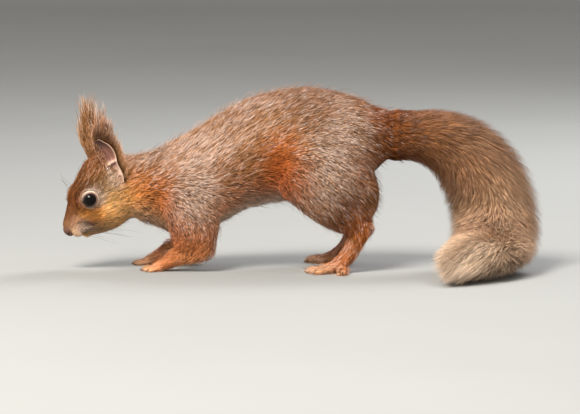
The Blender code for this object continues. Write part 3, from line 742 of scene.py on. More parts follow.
# %% Body without its coat
CLOSE_GAPS = 1.0  # the solids are swollen by this much so that no gap between them survives
HEAD_HIDDEN = 4.0  # the coarse head lies this deep inside the fine one
body_nodes = [node for node in flesh if not node.startswith(("tail_", "ear_", "fore_foot", "hind_foot"))]
body_points, body_faces = largest_shell(
    *remeshed(*merged_solids(body_nodes), VOXEL, softness=12, grow=CLOSE_GAPS)
)


def head_share(points):
    """1 on the head and 0 behind it, changing over a few millimetres at the nape."""
    back = on_head(points)[:, 0]
    return np.clip((50.0 - back) / 8.0, 0, 1) * np.clip((trunk_low[0] - 8.0 - points[:, 0]) / 8.0, 0, 1)


def drawn_in(points, faces):
    """Each point moves against its normal by the depth of the coat there."""
    depth = groom_at(points)[1][:, 1]
    depth += head_share(points) * (HEAD_HIDDEN - depth)
    return points - vertex_normals(points, faces) * (depth + CLOSE_GAPS)[:, None]


body_points = drawn_in(body_points, body_faces)
print("body:", len(body_faces), "squares")

# %% Fine head
# Back, top, bottom, half width, how far the widest part lies below the middle
HEAD_RINGS = (
    (-0.6, 0.8, -1.6, 1.2, 0.0),
    (0.6, 3.0, -4.2, 3.0, 0.0),
    (2.5, 4.8, -7.0, 4.6, 0.1),
    (5.5, 6.4, -10.6, 6.4, 0.15),
    (9.5, 9.0, -14.6, 8.2, 0.2),
    (15, 12.4, -18.4, 10.6, 0.2),
    (21, 15.2, -21.8, 13.0, 0.15),
    (28, 17.8, -24.0, 15.2, 0.15),
    (35, 19.4, -25.2, 16.6, 0.1),
    (42, 18.8, -25.6, 16.6, 0.05),
    (49, 15.2, -23.6, 15.0, 0.0),
    (55, 8.5, -18.5, 11.5, 0.0),
)
# Back, side, up and the three radii the same way round
HEAD_SWELLINGS = (
    (27, 9.5, -9.0, 11.0, 7.2, 10.5),  # cheek
    (5.4, 3.4, -4.6, 5.0, 3.7, 4.3),  # whisker pad
    (22, 7.4, 5.6, 9.0, 5.0, 6.5),  # brow and eye mound
)
MIDDLE_SWELLINGS = ((9.5, 0.0, -10.6, 5.0, 3.6, 3.6),)  # chin
# Points along a groove (back, side, up), its depth and half width
GROOVES = (
    (((7.5, 7.0, -0.8), (9.6, 8.4, -3.2), (12.3, 9.4, -7.2)), 0.9, 1.1),  # above the whisker pad
    (((4.6, 3.4, -8.6), (8.0, 6.8, -9.8), (12.5, 8.4, -12.6), (17.5, 9.8, -15.6)), 1.0, 1.0),  # mouth
)
WHISKER_ROWS, WHISKERS_A_ROW = 3, 6
FOLDS_END = -105.0  # no fold or whisker root lies behind this x
# painted shade in the folds of the face: how much darker skin and hair are along a fold's line
PAINTED_FOLD_SHADE = 0.72
ROOT_DARKNESS, ROOT_SPREAD = 0.6, 0.5  # of the dark spot at each whisker's root


def ball(centre, radii, axes, around=40, rings=20):
    """A ball stretched along three axes: sin and cos of latitude and longitude."""
    longitude = circle(around)
    latitude = np.linspace(0, math.pi, rings + 2)[1:-1, None]
    shape = np.stack((
        np.cos(latitude) + 0 * longitude,
        np.sin(latitude) * np.cos(longitude),
        np.sin(latitude) * np.sin(longitude),
    ), -1)
    return closed_stack(centre + (shape * np.array(radii)) @ axes)


def head_loft():
    """Egg-shaped rings: height = top or bottom × cos, width = half width × sin × (1 - lowness × cos)."""
    rows = smooth_rows(HEAD_RINGS, 90)
    angle = circle(72)
    rise, reach = np.cos(angle), np.sin(angle)
    back, top, bottom, half, low = (rows[:, n, None] for n in range(5))
    up = (top + bottom) / 2 + (top - bottom) / 2 * rise
    side = half * reach * (1 - low * rise)
    return closed_stack(head_point(np.stack((back + 0 * up, side, up), -1)))


def grooved(points):
    """How deep the folds of the face are at each point: a hill across each fold's line."""
    depth = np.zeros(len(points))
    for side in (-1, 1):
        for line, deep, wide in GROOVES:
            path = head_point(smooth_rows(np.array(line) * (1, side, 1), 24))
            away = np.sqrt(((points[:, None] - path) ** 2).sum(2).min(1))
            depth = np.maximum(depth, deep * bump(away, 0, wide))
    return depth


def whisker_root(row, place, side):
    """Where a whisker stands on its pad, in the head's back, side and up."""
    return np.array((5.0 + 1.4 * place, side * (6.0 + 0.35 * place), -4.5 - 1.6 * row))


def fold_shade_and_whisker_spots(points):
    """1 on open skin, darker by painted shade in each fold of the face, and darker at the pad's own dark spot
    close to each whisker's root.
    """
    shade = np.ones(len(points))
    near = points[:, 0] < FOLDS_END
    shade[near] = 1 - PAINTED_FOLD_SHADE * np.clip(grooved(points[near]) / 0.9, 0, 1)
    spots = on_head(points[near])[:, None]
    roots = np.array([whisker_root(n, m, 1) for n in range(WHISKER_ROWS) for m in range(WHISKERS_A_ROW)])
    away = np.hypot(spots[..., 0] - roots[:, 0], spots[..., 2] - roots[:, 2]).min(1)
    shade[near] *= 1 - ROOT_DARKNESS * bump(away, 0, ROOT_SPREAD)
    return shade[:, None]


def bare_head():
    """The loft and its swellings melted together, then drawn in by the coat's depth."""
    shells = [head_loft()]
    for row in MIDDLE_SWELLINGS:
        shells.append(ball(head_point(row[:3]), row[3:], HEAD_AXES))
    for side in (-1, 1):
        for back, out, up, *radii in HEAD_SWELLINGS:
            shells.append(ball(head_point((back, side * out, up)), radii, HEAD_AXES))
    points, faces = remeshed(*joined(shells), HEAD_VOXEL, softness=8)
    depth = groom_at(points)[1][:, 1] + grooved(points)
    return points - vertex_normals(points, faces) * depth[:, None], faces


head_points, head_faces = bare_head()
print("head:", len(head_faces), "squares")

# %% Limb tubes
TABLE_SHIFT = 1.3  # the limb and tail tables count x from a point this far in front of the origin


def tube(rows, rings, around):
    """A limb through rows of x, y, z, radius in its plane and radius across it, with round ends."""
    rows = smooth_rows(rows, rings)
    centres = rows[:, :3]
    tangents, sides = carried_axes(centres, (0.0, 1.0, 0.0))
    ups = np.cross(tangents, sides)
    cap = np.radians((75, 50, 25))
    place = np.concatenate((np.zeros(3, int), np.arange(rings), np.full(3, rings - 1)))
    size = np.concatenate((np.cos(cap), np.ones(rings), np.cos(cap[::-1])))[:, None]
    push = np.concatenate((-np.sin(cap), np.zeros(rings), np.sin(cap[::-1]))) * rows[place, 4]
    centre = centres[place] + tangents[place] * push[:, None]
    ring = turned(
        circle(around)[:, None],
        (ups[place] * rows[place, 3, None] * size)[:, None],
        (sides[place] * rows[place, 4, None] * size)[:, None],
    )
    return closed_stack(centre[:, None] + ring)


def on_floor_plan(rows, side, step=0.0):
    """Rows measured from the body's midline, placed on its left (-1) or right (+1) side."""
    rows = np.array(rows, float)
    rows[:, 0] += step + TABLE_SHIFT
    rows[:, 1] = MIDLINE + side * rows[:, 1]
    return rows


# %% Feet
# x, distance from the midline, z, radius in the plane of the leg, radius across
HIND_SOLE = (
    (33.5, 23.5, 26.0, 4.4, 3.7),
    (29.5, 24.5, 18.5, 3.9, 3.8),
    (25, 26, 10.5, 3.6, 4.5),
    (19.5, 27.5, 5.0, 3.2, 5.4),
    (14.5, 28.5, 2.6, 2.5, 5.0),
)
FORE_SOLE = ((-72, 18.9, 9.4, 4.0, 4.0), (-79, 18, 5.2, 3.1, 3.8), (-85, 17.4, 2.5, 2.4, 4.1))
# Turn outwards in degrees, step sideways, set-back of the root, length, radius
HIND_TOES = (
    (-32, -4.6, 2.5, 9.0, 1.45),
    (-9, -3.2, 1.5, 12.6, 1.6),
    (6, 0.0, 1.5, 13.6, 1.65),
    (22, 3.2, 1.5, 13.0, 1.6),
    (72, 4.2, 7.0, 12.0, 1.6),
)
FORE_TOES = (
    (-24, -3.3, 1.5, 8.0, 1.15),
    (-6, -1.1, 1.5, 9.6, 1.2),
    (9, 1.2, 1.5, 9.6, 1.2),
    (28, 3.4, 1.5, 8.2, 1.15),
)
HIND_HEADING = math.radians(14)
FORE_HEADING = math.radians(6)
RIGHT_FORE_STEP = -6.0  # the right forefoot stands this far ahead of the left
# Along the toe, height of its middle and its radii as shares of the toe's radius:
# a knuckle, a slim middle joint and a padded end
TOE_JOINTS = (
    (0.0, 1.7, 1.05),
    (0.22, 1.75, 1.12),
    (0.45, 1.35, 0.92),
    (0.66, 1.0, 0.96),
    (0.84, 0.95, 1.08),
    (0.97, 0.9, 0.8),
)
CLAW_REACH = 2.5  # length of a claw against its toe's radius
feet = (
    ("hind_foot", HIND_SOLE, HIND_TOES, HIND_HEADING, 0.0),
    ("fore_foot", FORE_SOLE, FORE_TOES, FORE_HEADING, RIGHT_FORE_STEP),
)


def toe_lines(sole, toes, heading, side):
    """Each toe's root, direction, length and radius."""
    root = sole[-1][:3].copy()
    ahead = np.array((-math.cos(heading), side * math.sin(heading), 0.0))
    outward = np.array((math.sin(heading), side * math.cos(heading), 0.0))
    lines = []
    for turn, sideways, setback, length, radius in toes:
        angle = math.radians(turn)
        way = ahead * math.cos(angle) + outward * math.sin(angle)
        start = root + outward * sideways - ahead * setback
        start[2] = 0.0
        lines.append((start, way, length, radius))
    return lines


def bare_foot(sole, toes, heading, side):
    """The sole and its toes melted together, flat underneath where they rest on the floor."""
    shells = [tube(sole, 16, 20)]
    for start, way, length, radius in toe_lines(sole, toes, heading, side):
        rows = [(*(start + way * length * along)[:2], radius * high, radius * wide, radius * wide)
                for along, high, wide in TOE_JOINTS]
        shells.append(tube(rows, 18, 14))
    points, faces = remeshed(*joined(shells), FOOT_VOXEL, softness=3)
    points[:, 2] = np.maximum(points[:, 2], 0.05)
    return points, faces


def claw(start, way, length, radius):
    """A curved horn: its middle drops as the square of the distance along, and it tapers to a point."""
    up = np.array((0.0, 0.0, 1.0))
    along = np.linspace(0, 1, 9)[:, None]
    tip = start + way * (length * 0.93)
    centre = tip + way * (radius * CLAW_REACH) * along + up * radius * (1.15 - 0.75 * along**2)
    size = radius * (0.46 * (1 - along) ** 0.7 + 0.04)
    ring = turned(circle(10)[:, None], 0.8 * np.cross(way, up), 1.25 * up)
    return closed_stack(centre[:, None] + size[:, None] * ring)


foot_shells, claw_shells = [], []
for word, sole_table, toe_table, heading, step in feet:
    for side in (-1, 1):
        sole = on_floor_plan(sole_table, side, step if side > 0 else 0.0)
        foot_shells.append(bare_foot(sole, toe_table, heading, side))
        claw_shells += [claw(*line) for line in toe_lines(sole, toe_table, heading, side)]
print("feet:", sum(len(faces) for points, faces in foot_shells), "squares,", len(claw_shells), "claws")

# %% Tail inside its bush
# x, distance from the midline, z, half breadth and half thickness of the bush
TAIL = (
    (50.0, 0.0, 77.5, 14.7, 15.0),
    (61.5, 0.0, 77.0, 14.5, 15.2),
    (73.0, 0.0, 75.6, 17.2, 16.0),
    (85.0, 0.0, 71.2, 20.8, 16.5),
    (96.5, 0.0, 62.2, 24.4, 16.5),
    (105.5, -0.5, 47.5, 26.8, 16.0),
    (109.8, -4.0, 32.0, 27.2, 15.4),
    (109.6, -14.0, 19.6, 27.4, 14.8),
    (107.0, -29.0, 14.0, 27.4, 14.4),
    (102.5, -46.0, 12.6, 27.0, 13.8),
    (96.5, -62.0, 11.8, 25.0, 12.8),
    (90.5, -76.0, 9.6, 22.0, 10.6),
    (86.0, -87.0, 7.2, 17.5, 8.0),
    (82.5, -95.0, 5.2, 10.5, 5.2),
)
TAIL_STEPS = 240
# Share of the bone's length, radius
TAIL_BONE = (
    (0.0, 11.2),
    (0.06, 9.6),
    (0.12, 7.8),
    (0.2, 6.2),
    (0.4, 4.6),
    (0.7, 3.6),
    (0.88, 2.4),
    (1.0, 1.6),
)
BONE_END = 0.90  # the bone stops this far along, and only hair goes on

tail_rows = smooth_rows(on_floor_plan(TAIL, 1), TAIL_STEPS)
tail_centres = tail_rows[:, :3]
tail_tangents, tail_thin = carried_axes(tail_centres, (0.0, 1.0, 0.0))
tail_broad = np.cross(tail_tangents, tail_thin)
tail_run = np.concatenate(((0.0,), np.cumsum(np.linalg.norm(np.diff(tail_centres, axis=0), axis=1))))


def bare_tail():
    """A round cord along the tail's path, from inside the rump to where only hair goes on."""
    last = int(TAIL_STEPS * BONE_END)
    place = np.arange(0, last, 2)
    size = read_off(TAIL_BONE, place / last)[:, None, None]
    ring = turned(circle(24)[:, None], tail_broad[place][:, None], tail_thin[place][:, None])
    return closed_stack(tail_centres[place][:, None] + ring * size)


print("tail:", round(tail_run[-1]), "mm along its path")

# %% [markdown]
# ## Ears, nose and lids
#
# These show bare or nearly bare skin, so they are surfaces of their own. An ear is a cup: each
# ring is a crescent, an outer arc and an inner one, and the inner side carries the fold and the
# notch of the ear canal. A lid is a band of a ball slightly larger than the eye, cut away where
# the eye looks out, so it hugs the eye exactly as a real lid does. The nose is a ball with two
# comma-shaped dents.

# %% Ears
EAR_BASE = (40.6, 11.2, 9.2)  # back, side, up
EAR_PINNA = (0.40, -0.08, 0.91)  # the way the cup rises
EAR_FACES = (-0.34, 0.94, -0.06)  # the way the hollow looks
# Distance up from the base, half width, depth of the cup, lean towards the nape
# and step out from the head
PINNA = (
    (-8.5, 2.0, 1.2, 3.2, 2.2),
    (-6, 3.6, 2.2, 2.6, 2.1),
    (-2, 4.2, 3.0, 2.2, 1.5),
    (3, 3.7, 3.4, 2.1, 0.6),
    (8, 4.5, 3.8, 2.1, 0.1),
    (12.5, 4.6, 3.2, 1.4, 0.0),
    (15.5, 4.0, 2.4, 0.5, 0.0),
    (17.6, 2.9, 1.8, -0.3, 0.0),
    (19.0, 1.8, 1.2, -0.3, 0.0),
    (19.7, 0.8, 0.8, 0.0, 0.0),
)
PINNA_RINGS, PINNA_ARC = 60, 30
PINNA_WALL = 0.9
FOLD_HEIGHT = 4.0  # the fold crosses the hollow this far up
CANAL_HEIGHT = -5.3  # the notch of the ear canal, below the base
EAR_PINK = linear(128, 84, 70)
# Painted shade in the hollow of the ear.
EAR_SHADE = linear(66, 38, 28)
EAR_RIM = linear(226, 194, 172)
# Painted shadow in the notch of the ear canal.
CANAL_SHADOW = linear(50, 24, 18)


def ear_axes(side):
    """Base, rise, facing and across directions of one ear, across pointing towards the nape."""
    flip = np.array((1, side, 1))
    rise = unit(np.array(EAR_PINNA) * flip) @ HEAD_AXES
    facing = np.array(EAR_FACES) * flip @ HEAD_AXES
    facing = unit(facing - facing @ rise * rise)
    across = np.cross(rise, facing)
    across *= np.sign(across @ HEAD_AXES[0])
    return head_point(np.array(EAR_BASE) * flip), rise, facing, across


def ear_cup(side):
    """Rings of height h: across × half width × sin, back against facing × depth × cos, on both walls."""
    base, rise, facing, across = ear_axes(side)
    height, half, depth, lean, step_out = (column[:, None] for column in smooth_rows(PINNA, PINNA_RINGS).T)
    turn = np.linspace(-math.pi / 2, math.pi / 2, PINNA_ARC)
    u = np.sin(turn)
    rim = np.abs(u) ** 12
    fold_height = FOLD_HEIGHT + 0.8 * u
    fold = 1.7 * bump(height, fold_height, 1.0) * (1 - rim)
    ridge = 0.7 * bump(u, 0.35 - 0.03 * height, 0.16) * bump(height, 9.0, 5.0)
    notch = 1.8 * bump(height, CANAL_HEIGHT, 1.1) * bump(u, 0.35, 0.35)
    outer = step_out - depth * np.cos(turn) + 0.25 * rim
    inner = step_out - np.maximum(depth - PINNA_WALL, 0.15) * np.cos(turn) + 0.55
    inner = inner + fold + ridge - notch

    def wall(depths, width):
        aside = half * width * u + lean
        return base + rise * height[..., None] + across * aside[..., None] + facing * depths[..., None]

    walls = wall(outer, 1.0), wall(inner, np.where(half > 1.2, 0.9, 0.7))[:, ::-1]
    points, faces = closed_stack(np.concatenate(walls, 1))
    # Painted shade in the top of the hollow under the rim, under the fold and along the front wall, a painted
    # highlight along the ridge of the fold, and a painted shadow in the notch of the canal; the pink, the
    # pale rim and the pale lower part are the ear's own colours.
    under_fold = bump(height, fold_height - 1.4, 0.7) * np.clip(0.6 - u, 0, 1)
    shade = np.clip(bump(height, 18.0, 3.6) + 1.2 * under_fold + 0.5 * bump(u, -0.55, 0.3), 0, 1)
    pale = rim * np.clip(0.2 + u + bump(height, 18.0, 3.0), 0, 1)
    pale = pale + 0.7 * bump(height, fold_height + 0.3, 0.6) + 0.8 * bump(height, -3.0, 4.4)
    dark = bump(height, CANAL_HEIGHT, 0.8) * bump(u, 0.35, 0.34) * 1.5
    flush = EAR_PINK
    for tint, share in ((EAR_SHADE, shade), (EAR_RIM, pale), (CANAL_SHADOW, dark)):
        flush = mixed(flush, tint, np.clip(share, 0, 1)[..., None])
    back = np.broadcast_to(TINTS["cocoa"], flush.shape)
    tint = np.concatenate((back, flush[:, ::-1]), 1).reshape(-1, 3)
    return points, faces, np.vstack((tint, tint[:1], EAR_RIM))


ears = [ear_cup(side) for side in (-1, 1)]
print("ear cup:", len(ears[0][1]), "triangles")

# %% Lids
EYE_POINTS = 64  # on each ring round an eye
LID_OPENING = math.radians(49)  # between the eye's axis and the lid's edge
LID_END = math.radians(112)
LID_DARK = linear(40, 26, 22)
LID_ROSE = linear(120, 76, 58)
LID_PALE = linear(246, 220, 194)


def eye_rings(side, angle, size):
    """Rings round the way an eye looks: each at its angle from there and its distance from the middle."""
    centre, look, ahead, across = eye_axes(side)
    sideways = turned(circle(EYE_POINTS)[:, None], ahead, across)
    return centre + size[..., None] * turned(angle[..., None], look, sideways)


def lid(side):
    """A band of a ball round the eye: radius against angle from the eye's axis makes its section."""
    round_eye = circle(EYE_POINTS)
    share = np.linspace(0, 1, 18)[:, None]
    corner = 0.36 * np.maximum(np.cos(round_eye), 0) ** 8
    start = LID_OPENING + corner + 0.03 * np.cos(2 * round_eye)
    outer_angle = start + (LID_END - start) * share
    swell = 0.75 * np.sin(np.minimum(share * 3.2, 1) * math.pi / 2)
    outer_size = EYE_RADIUS + 0.25 + swell - 0.5 * share**2
    inner_size = EYE_RADIUS + 0.08 + 0.12 * share[::-1]
    angle = np.concatenate((outer_angle, outer_angle[::-1]))
    rings = eye_rings(side, angle, np.concatenate((outer_size, inner_size)))
    j = np.arange(EYE_POINTS)
    k = (j + 1) % EYE_POINTS
    last = (len(rings) - 1) * EYE_POINTS
    seam = np.stack((last + j, last + k, k, j), 1)
    squares = np.vstack((grid_faces(len(rings), EYE_POINTS, closed=True), seam))

    def band(centre, width):
        """A hill across the outer side, and 1 all over the inner side."""
        return np.concatenate((bump(share, centre, width), np.ones_like(share)))[..., None]

    front = np.clip(np.cos(round_eye) + 0.5, 0, 1)[None, :, None]
    tint = mixed(LID_PALE, LID_ROSE, band(0.12, 0.10)) * (1 - 0.55 * front)
    tint = mixed(tint, LID_DARK, band(0.0, 0.09)).reshape(-1, 3)
    points = rings.reshape(-1, 3)
    return points, outwards(points, halved(squares)), tint


lids = [lid(side) for side in (-1, 1)]

# %% Nose
NOSE = (0.9, 0.0, -1.7)  # back, side, up
NOSE_RADII = (2.6, 3.3, 3.6)
NOSE_TINT = linear(104, 66, 50)
# Painted shadow in the openings of the nostrils.
NOSTRIL_SHADOW = linear(26, 14, 12)
COMMA_START = 0.42  # how far out the comma of a nostril starts, against the nose


def nose():
    """A ball with comma dents: depth = hill across a curve that starts below and hooks out to the side."""
    longitude = circle(80)
    latitude = np.linspace(0, math.pi, 52)[1:-1, None]
    ahead = np.cos(latitude) + 0 * longitude
    side = np.sin(latitude) * np.sin(longitude)
    up = np.sin(latitude) * np.cos(longitude)
    out = np.abs(side)
    along = np.clip((out - COMMA_START) / 0.5, 0, 1)
    curve = -0.42 + 0.55 * along**2
    across = np.abs(up - curve)
    across = np.where(out < COMMA_START, np.hypot(up - curve, (out - COMMA_START) * 1.2), across)
    dent = bump(across, 0, 0.22 - 0.09 * along) * (ahead > 0) * np.clip((0.98 - out) * 8, 0, 1)
    groove = 0.10 * bump(side, 0, 0.08) * (up < 0.1) * (ahead > 0)
    dent = dent[..., None]
    size = 1 - 0.30 * dent - groove[..., None]
    shape = np.stack((-ahead, side, up), -1) * size * np.array(NOSE_RADII)
    points, faces = closed_stack(head_point(np.array(NOSE) + shape))
    # painted shadow in the nostrils' dents
    tint = mixed(NOSE_TINT, NOSTRIL_SHADOW, dent).reshape(-1, 3)
    return points, faces, np.vstack((tint, NOSE_TINT, NOSE_TINT))


# %% [markdown]
# ## One skin
#
# Body, head and tail are melted into a single surface, so no seam shows between them. Feet,
# ears, lids and nose are finer than that surface could hold, so they go into the same mesh as
# shells of their own, rooted inside it. The skin then gets its unwrap, which the hair reads
# too: each lock of hair finds its colour at the place where it grows.

# %% Skin
MAIN_TRIANGLES = 118000
SOOTHE_ROUNDS = 220
NECK_JOINT = (-97.0, 9.0)  # x and half width of the band where the head melts into the neck
GROIN = (-12.0, 12.0)  # the same where the thigh melts into the flank
ELBOW = (-47.0, 6.0)  # the same at the elbow, below its height
ELBOW_TOP = 34.0
# The skin's shells, in their order
SHELLS = ("main", "foot", "foot", "foot", "foot", "ear_left", "ear_right", "lid", "lid", "nose")


def soothed(points, faces, share, rounds):
    """Moves each point towards the mean of its neighbours, by its own share, in many small rounds."""
    ends = np.concatenate([faces[:, (a, (a + 1) % 4)] for a in range(4)])
    met = np.bincount(ends[:, 0], minlength=len(points))[:, None]
    for _ in range(rounds):
        total = [np.bincount(ends[:, 0], points[ends[:, 1], axis], len(points)) for axis in range(3)]
        points = points + (np.stack(total, 1) / np.maximum(met, 1) - points) * share[:, None]
    return points


def thinned(points, faces, triangles):
    """The same surface with fewer triangles, taken first from where it is flattest."""
    dense = new_object("dense", new_mesh("dense", points, faces))
    thin = dense.modifiers.new("thin", "DECIMATE")
    thin.ratio = triangles / len(faces)
    return applied(dense, 3)


def main_shell_of_skin():
    """Body, head and tail as one surface, soothed where the head joins the neck."""
    points, faces = largest_shell(*remeshed(*joined([
        (body_points, halved(body_faces)),
        (head_points, halved(head_faces)),
        bare_tail(),
    ]), VOXEL, softness=3))
    behind = np.clip((points[:, 0] - NECK_JOINT[0] + 4.0) / 8.0, 0, 1)
    share = 0.07 * behind + 0.43 * bump(points[:, 0], *NECK_JOINT) + 0.28 * bump(points[:, 0], *GROIN)
    share += 0.3 * bump(points[:, 0], *ELBOW) * np.clip((ELBOW_TOP - points[:, 2]) / 8.0, 0, 1)
    points = soothed(points, faces, share, SOOTHE_ROUNDS)
    return thinned(points, halved(faces), MAIN_TRIANGLES)


def under_coat(points):
    """The groom's tint, darker the deeper the coat is there, because little light gets down to the skin, and
    darker in the folds of the face: painted shade; the dark spots at the whiskers' roots come in too.
    """
    _, sizes, tint = groom_at(points)
    return tint * (0.95 - 0.6 * np.clip(sizes[:, 1:2] / 3.0, 0, 1)) * fold_shade_and_whisker_spots(points)


def skin_surface():
    """Points, triangles and tints of the whole skin; where no tint is given the groom's is used."""
    shells = [(*main_shell_of_skin(), None)]
    shells += [(points, halved(faces), None) for points, faces in foot_shells]
    shells += ears + lids + [nose()]
    tints = []
    for points, faces, tint in shells:
        tints.append(under_coat(points) if tint is None else tint)
    points, faces = joined([shell[:2] for shell in shells])
    counts = [len(shell[1]) for shell in shells]
    return points, faces, np.concatenate(tints), counts


skin_points, skin_faces, skin_tints, shell_counts = skin_surface()
print("skin:", len(skin_faces), "triangles in", len(shell_counts), "shells")

# %% Skin material
def painted(name, roughness, grain_scale, mottle, relief_depth=0.0):
    """A finish whose colour comes from each point's tint, mottled by noise, with a fine bump."""
    made, tree, inputs = material(name, roughness)
    paint = tree.nodes.new("ShaderNodeAttribute")
    paint.attribute_name = "tint"
    grain = pattern_on_object(tree, grain_scale)
    span = tree.nodes.new("ShaderNodeMapRange")
    span.inputs["To Min"].default_value = 1.0 - mottle
    span.inputs["To Max"].default_value = 1.0 + mottle
    mix = tree.nodes.new("ShaderNodeVectorMath")
    mix.operation = "SCALE"
    tree.links.new(grain.outputs["Fac"], span.inputs["Value"])
    tree.links.new(paint.outputs["Color"], mix.inputs[0])
    tree.links.new(span.outputs["Result"], mix.inputs["Scale"])
    tree.links.new(mix.outputs["Vector"], inputs["Base Color"])
    if relief_depth:
        relief = tree.nodes.new("ShaderNodeBump")
        relief.inputs["Distance"].default_value = relief_depth
        tree.links.new(grain.outputs["Fac"], relief.inputs["Height"])
        tree.links.new(relief.outputs["Normal"], inputs["Normal"])
    return made, inputs


def paint_points(mesh, tints):
    """Puts a colour on each point, for the materials to read."""
    layer = mesh.color_attributes.new("tint", "FLOAT_COLOR", "POINT")
    layer.data.foreach_set("color", np.hstack((tints, np.ones((len(tints), 1)))).astype(np.float32).ravel())


def add_piece(name, mesh, look):
    """A finished piece, which rides on the body."""
    piece = new_object(name, mesh, look)
    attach(piece, "root")
    return piece


def unwrapped(piece):
    """Cuts the surface into flat islands by the way it faces, and returns each corner's place."""
    bpy.context.view_layer.objects.active = piece
    piece.select_set(True)
    piece.data.uv_layers.new(name="OFBake")
    bpy.ops.object.mode_set(mode="EDIT")
    bpy.ops.mesh.select_all(action="SELECT")
    bpy.ops.uv.smart_project(angle_limit=math.radians(70), island_margin=0.002)
    bpy.ops.object.mode_set(mode="OBJECT")
    piece.select_set(False)
    places = np.empty(len(piece.data.loops) * 2, np.float32)
    piece.data.uv_layers["OFBake"].data.foreach_get("uv", places)
    return places.reshape(-1, 3, 2)


skin_look, skin_inputs = painted("skin", 0.55, 900.0, 0.18, relief_depth=0.0003)
skin_inputs["Subsurface Weight"].default_value = 0.15
skin_inputs["Subsurface Radius"].default_value = (0.0012, 0.0005, 0.0003)
skin_mesh = new_mesh("skin", skin_points, skin_faces)
paint_points(skin_mesh, skin_tints)
skin = new_object("skin", skin_mesh, skin_look)
skin_places = unwrapped(skin)
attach(skin, "root")
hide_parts(*flesh)
print("corners of the skin with a place on its unwrap:", len(skin_places) * 3)

# %% [markdown]
# ## Eyes and claws
#
# A squirrel's eye is nearly all iris, so dark a brown that it reads as black, under a wet
# cornea that bulges a little. A ball with a bulge towards the side it looks to, near black and
# smooth, gives the one bright window that brings the face to life.

# %% Eyes
PUPIL_TINT = linear(5, 3, 3)
IRIS_TINT = linear(30, 17, 11)


def eyeball(side):
    """A ball whose radius grows by a hill round the eye's axis: the cornea."""
    angle = np.linspace(0, math.pi, 48)[1:-1, None]
    rings = eye_rings(side, angle, EYE_RADIUS - 0.05 + 0.25 * bump(angle, 0, math.radians(38)))
    points, faces = closed_stack(rings)
    iris = np.clip((np.degrees(angle) - 34) / 10, 0, 1)[..., None]
    tint = mixed(PUPIL_TINT, IRIS_TINT, iris) + 0 * rings
    return points, faces, np.vstack((tint.reshape(-1, 3), tint[0, 0], tint[-1, 0]))


eye_look, eye_inputs = painted("wet_eye", 0.14, 300.0, 0.3)
eye_inputs["Specular IOR Level"].default_value = 0.18
for word, side in (("left", -1), ("right", 1)):
    points, faces, tints = eyeball(side)
    mesh = new_mesh(f"eyeball_{word}", points, faces)
    paint_points(mesh, tints)
    eye = add_piece(f"eyeball_{word}", mesh, eye_look)
    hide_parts(f"eye_{word}")
print("eyeballs of", 2 * EYE_RADIUS, "mm")

# %% Claws
claw_horn = mottled("claw_horn", 0.38, 1400.0, (0.018, 0.013, 0.010), (0.085, 0.060, 0.042))
claws = add_piece("claws", new_mesh("claws", *joined(claw_shells)), claw_horn)
print("claws:", len(claws.data.polygons), "triangles")

# %% [markdown]
# ## Hair
#
# Hair could be grown by a particle system or as curves, but those aren't a mesh, and this
# model has to hold together as one. So each lock is a slim closed spindle: a point at its
# root, one or two three-sided rings, and a point at its tip. More than two hundred thousand of
# them are worked out at once as arrays. A lock starts along the skin's normal just enough to
# clear its neighbours, and then bends over to lie with the coat.
#
# Real hair clumps. So the ground is divided into long cells that run with the hair, and each
# cell is a tuft: its locks share a tone, they are silvered or dark together, and their tips
# close up towards its middle line. That gives the coat its streaks. A few longer and finer
# guard hairs stand out of it and break its outline.

# %% Locks of hair
PATCH = 0.0015  # half the size of a lock's own patch on the unwrap
RING = np.radians((90.0, 210.0, 330.0))[:, None]
# Painted light and shade on each lock: of its two outer sides one is lit and one shaded, and the side that
# faces the skin is in painted shade.
SIDE_LIGHT = 0.32  # one side of each lock is lighter than its middle by this share, the other darker
UNDERSIDE_SHADE = 0.6  # tint of the third side, against the middle
RING_PATCH = np.array(((0.0, 0.5), (-1.0, -0.3), (1.0, -0.3)))


def lock_faces(inner):
    """The triangles of one spindle with so many rings inside: root 0, then the rings, then the tip."""
    faces = []
    for j in range(3):
        k = (j + 1) % 3
        faces.append((0, 1 + k, 1 + j))
        for i in range(inner - 1):
            low, high = 1 + 3 * i, 4 + 3 * i
            faces += [(low + j, low + k, high + k), (low + j, high + k, high + j)]
        last = 1 + 3 * (inner - 1)
        faces.append((last + j, last + k, last + 3))
    return np.array(faces)


